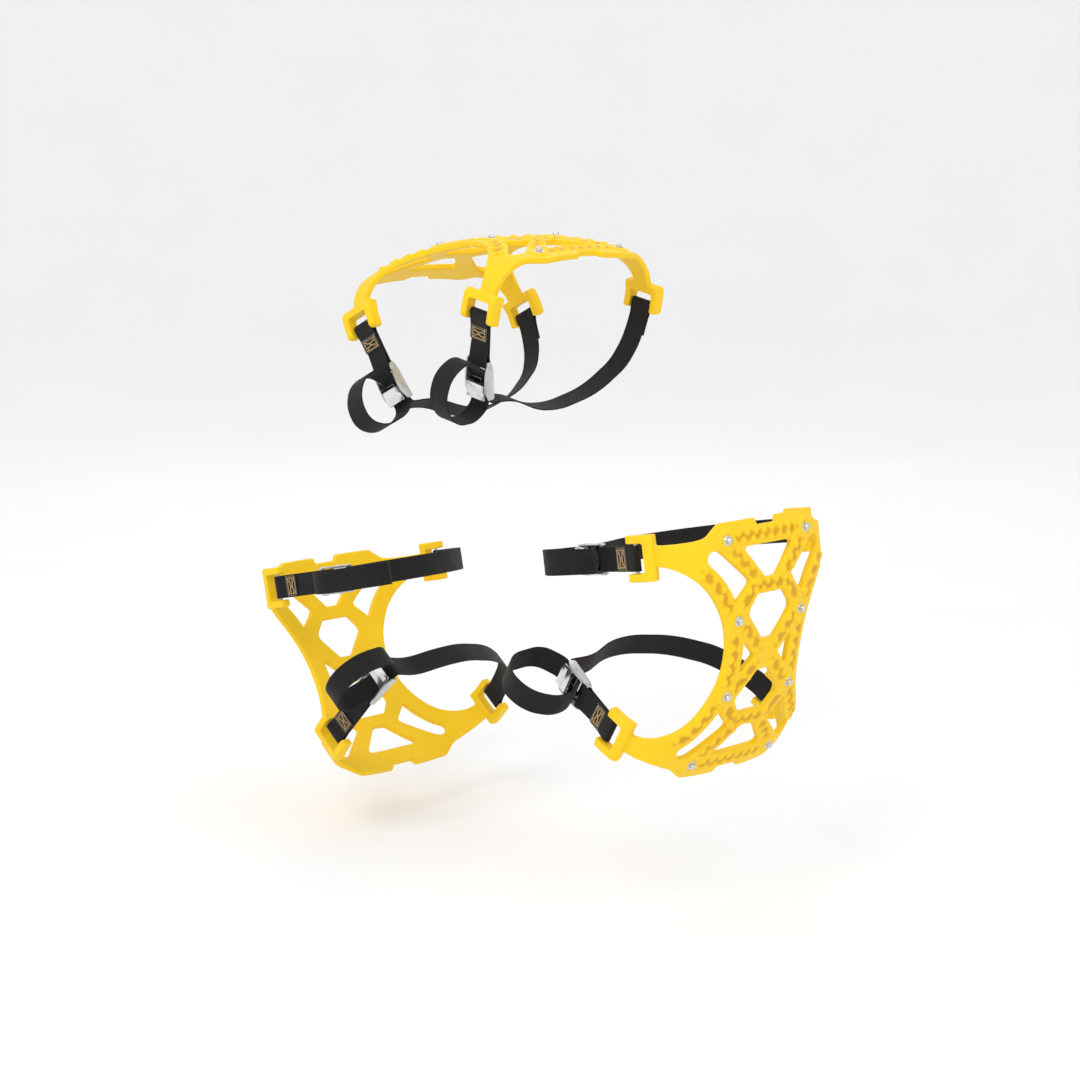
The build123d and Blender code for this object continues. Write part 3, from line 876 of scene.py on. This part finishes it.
# %% [markdown]
# ## Three plates
#
# The same pattern is bent over the tyre at three angles. The copies are whole meshes in place, because the
# frame's bodies only turn by a few degrees and every piece has to sit at the origin.

# %% Plates on their bodies
for number, body in UNIT_BODIES.items():
    bend_here = partial(wrap, angle=unit_angles[number])
    plate = moved_copy(pattern, "moulded_plate_" + number, bend_here, YELLOW)
    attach(plate, body)
    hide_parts("grip_plate_" + number)
drop_object(pattern)
print("plates:", len(UNIT_BODIES))

# %% [markdown]
# ## Studs and pins
#
# A stud is turned on a lathe: a collar held by the plastic, a shank, and a head that the road wears into a
# low dome with a hard tip. The profile is drawn once and spun. A second tree then sets one at every
# point, turned to face along a direction that each point carries, so that studs stand square to the curved
# tread. The clip pins are set by the same tree.

# %% Setting tree
setter = Tree("set_on_points", Piece="object", Material="material")
source = setter.add("GeometryNodeObjectInfo", output="Geometry", Object=setter.given("Piece"))
facing = setter.add("GeometryNodeInputNamedAttribute", dict(data_type="FLOAT_VECTOR"), Name="facing")
upright = setter.add("FunctionNodeAlignRotationToVector", dict(axis="Z"), Vector=facing)
setter.finish(setter.add("GeometryNodeInstanceOnPoints", Points=setter.given("Geometry"), Instance=source,
                         Rotation=upright))


def set_on_points(name, points, directions, shape, material):
    """One copy of a shape at each point, its z along the point's direction."""
    mesh = bpy.data.meshes.new(name)
    mesh.from_pydata((np.array(points) * MM).tolist(), [], [])
    facing = mesh.attributes.new("facing", "FLOAT_VECTOR", "POINT")
    facing.data.foreach_set("vector", np.array(directions, np.float32).ravel())
    return setter.grow(add_object(name, mesh), Piece=shape, Material=material)


def outward(m, s, angle, height):
    """Place and outward direction above a point of the pattern."""
    places = wrap(np.array([(m, s, height), (m, s, height + 1)], float), angle)
    return places[0], (places[1] - places[0]) / np.linalg.norm(places[1] - places[0])


stud_profile = [(0, -3), (5.2, -3), (5.2, -0.75), (4.9, -0.45), (3.9, -0.35), (3.5, -0.1), (3.5, 2.3),
                (3.3, 2.9), (2.8, 3.3), (1.7, 3.45), (1.5, 3.6), (1.3, 3.9), (0.8, 4.0), (0, 4.0)]
stud_shape = smooth(solid("stud_shape", *turned_piece(stud_profile, 28)), 35)
pin_length = CLIP_WIDTH - 1
pin_profile = [(0, -pin_length / 2), (1.4, -pin_length / 2), (2.0, -pin_length / 2 + 0.6),
               (2.0, pin_length / 2 - 0.6), (1.4, pin_length / 2), (0, pin_length / 2)]
pin_shape = smooth(solid("pin_shape", *turned_piece(pin_profile, 24)), 35)
for number, body in UNIT_BODIES.items():
    places = [outward(m, s, unit_angles[number], BOSS_TOP) for m, s in STUDS]
    group = set_on_points("road_studs_" + number, [p for p, _ in places], [d for _, d in places], stud_shape,
                          STUD_STEEL)
    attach(group, body)
    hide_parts("steel_studs_" + number)
    points, directions = [], []
    for name in (number + "a", number + "b"):
        angle, radius, y = pins[name]
        for side in (-1, 1):
            points.append(around_tyre([(radius, side * abs(y), 0)], angle)[0])
            directions.append((-sin(radians(angle)), 0, cos(radians(angle))))
    group = set_on_points("strap_pins_" + number, points, directions, pin_shape, PIN_STEEL)
    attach(group, body)
    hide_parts("clip_pins_" + number)
drop_object(stud_shape, pin_shape)
print("studs and pins set on", len(UNIT_BODIES), "units")

# %% [markdown]
# ## Where the webbing runs
#
# Two straps work at each clip. A short one joins the clip's pin to the buckle's bar. A long one is
# sewn round the pin on the tyre's far side, passes through the wheel between two spokes, goes in at the
# buckle's mouth and out under its cam, and its free end is tucked back as a loop. All of it lies in one
# plane through the wheel's axis, so each strap is a line of (radius, y) with soft bends.

# %% Strap lines
RIM, RIM_HALF = 220.0, 105.0   # radius of the wheel's rim flange, and half the rim's width
WELL = RIM - 57.0              # where the straps pass through the wheel
STRAP_WIDTH, STRAP_THICK, LOOP_GAP, LAYER_GAP = 25.0, 1.6, 0.4, 0.1
PIN, BAR = 2.0, 2.0            # radii of the clip's pin and of the buckle's bar
BAR_AT, AXLE_AT = (2.5, 4.8), (25.0, 8.0)             # (u, w) in the buckle's own axes
LEAN, STAND_OFF = radians(14.0), 4.0                  # how a buckle rests beside the rim flange
FLOOR_THICK, FLOOR_GAP = 1.5, 0.3
STRAP_LEVEL = FLOOR_THICK + FLOOR_GAP + STRAP_THICK / 2
# Points (u, w) of each free tail, from under its cam to where it is tucked back.
TAILS = {
    "1a": [(-3, 21), (1, 46), (20, 64), (43, 66), (56, 47), (54, 20)],
    "1b": [(-11, 27), (-4, 57), (24, 68), (51, 54), (58, 23)],
    "2a": [(-12, 26), (-2, 50), (22, 58), (48, 44), (56, 20)],
    "2b": [(-12, 32), (0, 70), (30, 80), (60, 62), (67, 25)],
    "3a": [(-16, 30), (-7, 64), (24, 77), (55, 61), (63, 26)],
    "3b": [(-6, 17), (12, 30), (52, 30), (92, 22), (96, 8)],
}


def drop_of(name):
    """How far a buckle hangs below the rim flange, from where its cam's axle is."""
    return RIM + 1 - AXLE_AT[0] * cos(LEAN) - AXLE_AT[1] * sin(LEAN) - axles[name][1]


def in_buckle(name, u, w):
    """(radius, y) of a point u along the buckle from its bar and w out from its base."""
    r = RIM + 1 - drop_of(name) - u * cos(LEAN) - w * sin(LEAN)
    return r, -(RIM_HALF + STAND_OFF) + u * sin(LEAN) - w * cos(LEAN)


def far_seam(name):
    """The two ends of the sewn part of a long strap, under its far pin."""
    r, y = pins[name][1], abs(pins[name][2])
    return (r - 34, y - 3.6), (r - 13, y - 0.4)


def long_line(name):
    """The middle line of a long strap, from its sewn end to its tucked end."""
    r, y = pins[name][1], abs(pins[name][2])
    turn = PIN + LOOP_GAP + STRAP_THICK / 2
    sewn = [*far_seam(name), (r - 4, y + turn), (r + turn, y + turn), (r + turn, y - turn),
            (r - 4, y - turn), (r - 13, y - 2.4)]
    through = [(r - 27, y - 4.6), (RIM + 5, RIM_HALF + 7), (RIM - 17, RIM_HALF - 6),
               (WELL + 13, 0.57 * RIM_HALF), (WELL, 8), (WELL + 1, -26),
               (WELL + 16 - drop_of(name) / 2, -0.64 * RIM_HALF)]
    inside = [in_buckle(name, 44, STRAP_LEVEL + 0.4), in_buckle(name, 33, STRAP_LEVEL),
              in_buckle(name, 15, STRAP_LEVEL)]
    tucked = STRAP_LEVEL + STRAP_THICK + 1.2
    tail = [in_buckle(name, u, w) for u, w in TAILS[name]]
    end = [in_buckle(name, 47, tucked), in_buckle(name, 31, tucked)]
    points = sewn + through + inside + tail + end
    radii = soft_radii(points)
    radii[2] = radii[3] = turn - 0.02
    return rounded(points, radii, closed=False, step=1.6)


def short_frame(name):
    """Start, direction along and direction out of the short strap, and its length."""
    start = np.array(in_buckle(name, *BAR_AT))
    end = np.array([pins[name][1], -abs(pins[name][2])])
    length = np.linalg.norm(end - start)
    along = (end - start) / length
    return start, along, np.array([along[1], -along[0]]), length


def short_line(name):
    """The middle line of a short strap, from its pin's loop to its bar's loop."""
    start, along, out, length = short_frame(name)
    pitch = STRAP_THICK + LAYER_GAP
    at_pin = PIN + LOOP_GAP + STRAP_THICK / 2
    at_bar = BAR + LAYER_GAP + STRAP_THICK / 2
    route = [(length - 28, pitch), (length - 13, pitch), (length - 3, at_pin),
             (length + at_pin, at_pin), (length + at_pin, -at_pin), (length - 3, -at_pin),
             (length - 13, -pitch), (8, -pitch), (3, -at_bar), (-at_bar, -at_bar),
             (-at_bar, at_bar), (3, at_bar), (length - 30, 0), (length - 14, 0)]
    radii = [8, 4, at_pin - 0.02, at_pin - 0.02, 4, 8, 4, 4, at_bar - 0.02, at_bar - 0.02, 5, 20]
    return rounded([start + along * a + out * b for a, b in route], radii, closed=False, step=1.0)


print("buckles hang below the rim by mm:", [round(drop_of(name)) for name in strap_names])

# %% [markdown]
# ## Webbing as a band with edges
#
# A strap isn't a sheet. It is 1.6 mm thick, its middle is slightly hollow, and both edges end in a
# rounded selvedge that catches the light. So the cross-section is drawn once and carried along the line.
# The band's own map stores how far each point is across and along, in metres, for the weave to read.
# A free tail also leans to one side, since no tail lies exactly in its plane.

# %% Bands
BAND_TOP = [(-11.9, 0.80), (-11.2, 0.72), (-8, 0.68), (-4, 0.70), (0, 0.71), (4, 0.70), (8, 0.68),
            (11.2, 0.72), (11.9, 0.80)]
BAND_EDGE = [(12.35, 0.5), (12.5, 0.0), (12.35, -0.5)]
BAND_BOTTOM = [(v, -t) for v, t in reversed(BAND_TOP)]
BAND_OUTLINE = BAND_TOP + BAND_EDGE + BAND_BOTTOM + [(-v, -t) for v, t in BAND_EDGE]
TAIL_LEANS = {"1a": 4.0, "1b": -3.5, "2a": 2.5, "2b": -4.5, "3a": 3.5, "3b": 1.5}
LEAN_FROM, LEAN_OVER = 16.0, 40.0    # distances from the buckle over which the lean grows


def band(name, line, angle, lean=None):
    """Webbing along a line of (radius, y) at an angle round the wheel."""
    forward = np.gradient(line, axis=0)
    forward /= np.linalg.norm(forward, axis=1)[:, None]
    normal = np.stack([-forward[:, 1], forward[:, 0]], 1)
    travelled = np.concatenate([[0], np.cumsum(np.linalg.norm(np.diff(line, axis=0), axis=1))])
    across, thick = np.array(BAND_OUTLINE).T
    sideways = np.zeros(len(line)) if lean is None else lean(line)
    flat = line[:, None, :] + normal[:, None, :] * thick[None, :, None]
    points = np.concatenate([flat, (across[None, :] + sideways[:, None])[:, :, None]], 2).reshape(-1, 3)
    ring, count = len(BAND_OUTLINE), len(line)
    last = (count - 1) * ring
    faces = [list(range(ring))[::-1], list(range(last, last + ring))]
    for start in range(0, last, ring):
        for i in range(ring):
            j = (i + 1) % ring
            faces.append([start + i, start + j, start + ring + j, start + ring + i])
    piece = solid(name, around_tyre(points, angle), faces, WEBBING)
    uv = np.stack([np.tile(across, count), np.repeat(travelled, ring)], 1) * MM
    layer = piece.data.uv_layers.new(name="strap")
    corners = np.zeros(len(piece.data.loops), int)
    piece.data.loops.foreach_get("vertex_index", corners)
    layer.data.foreach_set("uv", uv[corners].astype(np.float32).ravel())
    return smooth(piece, 60)


def tail_lean(name):
    """The sideways lean of a tail, which grows away from the buckle."""
    base = np.array(in_buckle(name, 0, 0))
    out = np.array([-sin(LEAN), -cos(LEAN)])

    def lean(line):
        away = (line - base) @ out
        return TAIL_LEANS[name] * soft_step(np.clip((away - LEAN_FROM) / LEAN_OVER, 0, 1))
    return lean


# A long strap is one mesh, baked in place and attached to no body.
for name in strap_names:
    angle = pins[name][0]
    short = band("buckle_webbing_" + name, short_line(name), angle)
    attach(short, "buckle_" + name)
    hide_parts("short_strap_" + name)
    line = long_line(name)
    long = band("pull_strap_" + name, line, angle, tail_lean(name))
    "buckle_" + name
    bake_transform(long)
    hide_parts("long_strap_" + name)
    print(name, "strap length mm: %.0f" % np.linalg.norm(np.diff(line, axis=0), axis=1).sum())

# %% [markdown]
# ## Sewing
#
# What holds a strap round its pin is a few square centimetres of sewing: a box with a cross in it, in tan
# thread, and a looser box of grey thread round that. Each stitch is a short fat bead that sinks
# into the webbing at both ends. The third tree walks along the sewing line and lays one bead at each stitch.

# %% Stitch tree
sewing = Tree("stitches", Pitch=float, Length=float, Thread=float, Material="material")
seam = sewing.add("GeometryNodeMeshToCurve", Mesh=sewing.given("Geometry"))
holes, tangent = sewing.walk(seam)
bead_size = sewing.add("ShaderNodeCombineXYZ", X=sewing.given("Thread"), Y=sewing.given("Thread"),
                       Z=sewing.given("Length"))
bead = sewing.add("GeometryNodeMeshUVSphere", Segments=8, Rings=6, Radius=0.5)
lying = sewing.add("FunctionNodeAlignRotationToVector", dict(axis="Z"), Vector=tangent)
sewing.finish(sewing.add("GeometryNodeInstanceOnPoints", Points=holes, Instance=bead, Rotation=lying,
                         Scale=bead_size))
TAN_STITCH = dict(Pitch=1.9 * MM, Length=2.1 * MM, Thread=0.75 * MM)
GREY_STITCH = dict(Pitch=2.4 * MM, Length=2.5 * MM, Thread=0.65 * MM)


def sewn_box(low, high, half, cross=True):
    """Lines of a box of stitches from low to high along the strap, with a cross in it."""
    corners = [(low, -half), (high, -half), (high, half), (low, half), (low, -half)]
    lines = [corners]
    if cross:
        bars = np.linspace(low, high, 4)[1:-1]
        lines += [[corners[0], corners[2]], [corners[1], corners[3]]]
        lines += [[(bar, -half), (bar, half)] for bar in bars]
    return lines


def sew(name, lines, place, angle, body, thread_material, stitch):
    """Stitches along lines of (along, across), put in (radius, y) by place."""
    run = [around_tyre([(*place(a), v) for a, v in line], angle) for line in lines]
    stitches = sewing.grow(line_object(name, run, MM), Material=thread_material, **stitch)
    for polygon in stitches.data.polygons:
        polygon.use_smooth = True
    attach(stitches, body)


def sew_seam(label, place, angle, body, tan_box, grey_box):
    """The two threads of one seam: a tan box with a cross, and a grey box round it."""
    tan_lines, grey_lines = sewn_box(*tan_box), sewn_box(*grey_box, cross=False)
    sew("tan_sewing_" + label, tan_lines, place, angle, body, TAN_THREAD, TAN_STITCH)
    sew("grey_sewing_" + label, grey_lines, place, angle, body, GREY_THREAD, GREY_STITCH)


def straight_seam(start, direction, offset):
    """Places (radius, y) at distances along a straight line beside the strap."""
    def place(distance):
        return start + direction * distance + offset
    return place


THREAD_SINK = 0.12
TAN_BOX, GREY_BOX = (16.0, 26.0, 8.5), (14.2, 27.2, 10.6)            # from, to and half width
FAR_TAN_BOX, FAR_GREY_BOX = (5.5, 16.5, 8.5), (3.7, 18.2, 10.6)
for name in strap_names:
    angle = pins[name][0]
    start, along, out, length = short_frame(name)
    skin = STRAP_THICK + LAYER_GAP + STRAP_THICK / 2 - THREAD_SINK
    for side, label in ((1, "outer_"), (-1, "inner_")):
        place = straight_seam(start + along * length, -along, out * skin * side)
        sew_seam(label + name, place, angle, "buckle_" + name, TAN_BOX, GREY_BOX)
    lower, upper = np.array(far_seam(name))
    slope = (upper - lower) / np.linalg.norm(upper - lower)
    face = np.array([-slope[1], slope[0]]) * (STRAP_THICK / 2 - THREAD_SINK)
    place = straight_seam(upper, -slope, face)
    sew_seam("far_" + name, place, angle, UNIT_BODIES[name[0]], FAR_TAN_BOX, FAR_GREY_BOX)
print("seams:", 3 * len(strap_names))

# %% [markdown]
# ## The buckle's pressed frame
#
# The frame is one pressing: a floor plate under the webbing and two ears folded up beside it. Pressed steel
# shows its bends and its rounded edges, so the ears and the floor are joined by a boolean and every sharp
# edge gets a small bevel. It is modelled once in its own axes, u from the bar to the mouth and w outwards.

# %% Buckle frame
EAR, EAR_GAP, FRAME_LENGTH = 1.5, 1.0, 39.0
EAR_IN = STRAP_WIDTH / 2 + EAR_GAP
EAR_OUT = EAR_IN + EAR


def bevelled(piece, width, segments=2, angle=35):
    """A small bevel on every edge sharper than an angle."""
    with_modifier(piece, "BEVEL", width=width, segments=segments, limit_method="ANGLE",
                  angle_limit=radians(angle), harden_normals=False)
    return plain(piece)


def pressed_frame():
    """The floor plate with its window, and the two ears."""
    outline = rounded([(-2.5, 2.5), (-2.5, 7.5), (3, 9.5), (20, 12), (30, 12), (FRAME_LENGTH, 8),
                       (FRAME_LENGTH, 0), (7, 0)], 1.8)
    floor_plan = rounded([(10, -14.2), (10, 14.2), (38, 14.2), (38, -14.2)], 2.5)
    points, faces = prism(floor_plan, 0.05, FLOOR_THICK)
    frame_piece = solid("frame_shape", points[:, [0, 2, 1]], faces, unit=1.0)
    window = rounded([(15, -6.5), (15, 6.5), (21, 6.5), (21, -6.5)], 2.0)
    points, faces = prism(window, -1, 3)
    combined(frame_piece, solid("floor_window", points[:, [0, 2, 1]], faces, unit=1.0), "DIFFERENCE")
    for low, high in ((EAR_IN, EAR_OUT), (-EAR_OUT, -EAR_IN)):
        combined(frame_piece, solid("ear", *prism(outline, low, high), unit=1.0))
    return smooth(bevelled(frame_piece, 0.35), 30)


print("a buckle frame is %.1f mm wide over its ears" % (2 * EAR_OUT))

# %% [markdown]
# ## The cam lever, its axle and the bar
#
# The lever is a thumb plate with a toothed cam under it. Pressing the plate lifts the teeth off the webbing.
# Its parts are joined by booleans: drum, nose, plate, the slot for the spring and the bore. The plate's far
# corners are rounded, its lip turns up, and three shallow grooves stop a wet thumb from slipping. The axle
# and the bar are turned pins whose ends are riveted over into low domes.

# %% Cam lever, axle and bar
AXLE = 1.75
LEVER_HALF = EAR_IN - 0.9
WIRE = 0.4                     # radius of the cam spring's wire
COIL = AXLE + 0.2 + WIRE
LEVER_LEVEL = AXLE_AT[1] + COIL + WIRE + 0.15
NOSE_LEVEL = STRAP_LEVEL + STRAP_THICK / 2 + 0.35
RIVET_HEAD = 0.9


def cam_lever():
    """The toothed drum and its thumb plate, about the axle's place in the buckle."""
    u, w = AXLE_AT
    teeth = [(u + 0.65 * i - 1.3, NOSE_LEVEL + (0.7 if i % 2 else 0)) for i in range(5)]
    shoulder = LEVER_LEVEL + 0.5
    nose = [(u - 2.9, w - 1)] + teeth + [(u + 2.9, w - 1), (u + 2.4, shoulder), (u - 2.4, shoulder)]
    drum = [(u + 3.1 * cos(a), w + 3.1 * sin(a)) for a in np.arange(40) * pi / 20]
    bore = [(u + (AXLE + 0.05) * cos(a), w + (AXLE + 0.05) * sin(a)) for a in np.arange(32) * pi / 16]
    plate = rounded([(22.1, LEVER_LEVEL), (36, LEVER_LEVEL), (39, LEVER_LEVEL + 0.9),
                     (38.6, LEVER_LEVEL + 2.4), (35.6, LEVER_LEVEL + 1.5), (22.1, LEVER_LEVEL + 1.5)],
                    [0.3, 4, 0.5, 0.5, 3, 0.5])
    half = LEVER_HALF
    lever = solid("lever_shape", *prism(drum, -half + 0.01, half - 0.01), unit=1.0)
    combined(lever, solid("nose", *prism(nose, -half, half), unit=1.0))
    slot = [(u - 6, NOSE_LEVEL - 2), (u + 6, NOSE_LEVEL - 2), (u + 6, LEVER_LEVEL), (u - 6, LEVER_LEVEL)]
    combined(lever, solid("slot", *prism(slot, -5, 5), unit=1.0), "DIFFERENCE")
    combined(lever, solid("bore", *prism(bore, -half - 1, half + 1), unit=1.0), "DIFFERENCE")
    thumb = solid("thumb", *prism(plate, -half, half), unit=1.0)
    plan = rounded([(21, -half), (21, half), (39.1, half), (39.1, -half)], [0.8, 3.5, 3.5, 0.8])
    points, faces = prism(plan, 5, 20)
    combined(thumb, solid("plan", points[:, [0, 2, 1]], faces, unit=1.0), "INTERSECT")
    for groove_u in (30.5, 32.5, 34.5):
        ring = [(groove_u + 0.55 * cos(a), LEVER_LEVEL + 1.75 + 0.55 * sin(a))
                for a in np.arange(16) * pi / 8]
        combined(thumb, solid("groove", *prism(ring, -8.5, 8.5), unit=1.0), "DIFFERENCE")
    combined(lever, thumb)
    return smooth(bevelled(lever, 0.22, 2, 28), 30)


def riveted(name, radius):
    """A pin with a riveted dome at each end."""
    dome = [(radius + 1.3, EAR_OUT), (radius + 1.25, EAR_OUT + 0.25), (radius + 0.8, EAR_OUT + 0.6),
            (radius - 0.2, EAR_OUT + 0.82), (0.5, EAR_OUT + RIVET_HEAD), (0, EAR_OUT + RIVET_HEAD)]
    half = [(radius, 0), (radius, EAR_OUT)] + dome
    profile = [(r, -z) for r, z in reversed(half[1:])] + half
    return smooth(solid(name, *turned_piece(profile, 28), unit=1.0))


def from_buckle(name, du, dw):
    """A bend that takes a piece from the buckle's axes, moved by (du, dw), to its place."""
    def bend(local):
        u, w, v = local.T
        r, y = in_buckle(name, u + du, w + dw)
        return around_tyre(np.stack([r, y, v], 1), pins[name][0])
    return bend


BUCKLE_PARTS = {
    "buckle_frame": (pressed_frame(), (0, 0), FRAME_PLATING, "buckle_plating", "pressed_frame"),
    "cam_lever": (cam_lever(), (0, 0), LEVER_PLATING, "lever_plating", "thumb_lever"),
    "buckle_bar": (riveted("bar_shape", BAR), BAR_AT, PIN_STEEL, "pin_steel", "riveted_bar"),
    "cam_axle": (riveted("axle_shape", AXLE), AXLE_AT, PIN_STEEL, "pin_steel", "riveted_axle"),
}
for name in strap_names:
    for node, (shape, centre, material, slot, title) in BUCKLE_PARTS.items():
        piece = moved_copy(shape, title + "_" + name, from_buckle(name, *centre), material)
        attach(piece, ("lever_" if node == "cam_lever" else "buckle_") + name)
        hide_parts(node + "_" + name)
    spring = frame["nodes"]["cam_spring_" + name]
    spring.data.materials.clear()
    spring.data.materials.append(SPRING_STEEL)
drop_object(*[shape for shape, *_ in BUCKLE_PARTS.values()])
print("buckles:", len(strap_names))

# %% [markdown]
# ## Floor
#
# The chains stand on a pale matt floor that curves up into a wall all round, so there is no horizon line
# behind them. The floor lies just under the place of the missing tyre's tread.

# %% Floor
FLAT_RADIUS, SWEEP_RADIUS, WALL_TOP = 3.6, 2.4, 4.2
floor_z = -(TREAD + PLATE_GAP) * MM
sweep = [(FLAT_RADIUS + SWEEP_RADIUS * sin(a), floor_z + SWEEP_RADIUS * (1 - cos(a)))
         for a in np.linspace(0, pi / 2, 16)]
basin = turned_piece([(0, floor_z)] + sweep + [(FLAT_RADIUS + SWEEP_RADIUS, WALL_TOP)], 96)
GREY, PALE_GREY = (0.90, 0.90, 0.90, 1.0), (0.93, 0.93, 0.93, 1.0)
floor_shader = Shader("pale_floor", Roughness=0.8)
floor_shader.set("Base Color", floor_shader.mix(floor_shader.noise(3.0), GREY, PALE_GREY))
floor = smooth(solid("floor", *basin, floor_shader.material, unit=1.0))
print("the floor lies %.3f m below the wheel's axis" % -floor_z)

# %% [markdown]
# ## Light
#
# Plain light shows a product best: a broad soft lamp from above and in front, two weaker ones from the
# side and from behind so that shadows stay open, and a bright even sky that gives the steel something to
# reflect.

# %% Lights
def soft_lamp(name, place, size, power):
    """A square lamp at a place, facing the object."""
    data = bpy.data.lights.new(name, "AREA")
    data.size, data.energy = size, power
    lamp = add_object(name, data)
    lamp.location = place
    lamp.rotation_euler = Vector(place).to_track_quat("Z", "Y").to_euler()
    return lamp


soft_lamp("key_lamp", (0.9, -2.6, 2.4), 1.5, 40)
soft_lamp("side_lamp", (3.0, 0.3, 1.2), 1.6, 10)
soft_lamp("back_lamp", (-2.2, 2.2, 2.0), 2.0, 12)
world = bpy.data.worlds.new("studio")
world.use_nodes = True
background = world.node_tree.nodes["Background"]
background.inputs["Color"].default_value = (1.0, 1.0, 1.0, 1.0)
background.inputs["Strength"].default_value = 0.95
scene.world = world
scene.view_settings.view_transform = "Standard"

# %% [markdown]
# ## Camera
#
# The camera stands a little above the wheel's centre, in front and to the right, and far enough away for a
# calm perspective.

# %% Camera
azimuth, elevation = radians(43.95), radians(9.29)
camera = add_object("camera", bpy.data.cameras.new("camera"))
camera.location = (1.79506, -1.83994, 0.43375)
facing = Vector((sin(azimuth) * cos(elevation), -cos(azimuth) * cos(elevation), sin(elevation)))
camera.rotation_euler = facing.to_track_quat("Z", "Y").to_euler()
camera.data.lens, camera.data.sensor_width = 81.318, 36.0
scene.camera = camera
print("camera %.2f m from the wheel's centre" % camera.location.length)

# %% [markdown]
#
# Looks must not change the object's size.
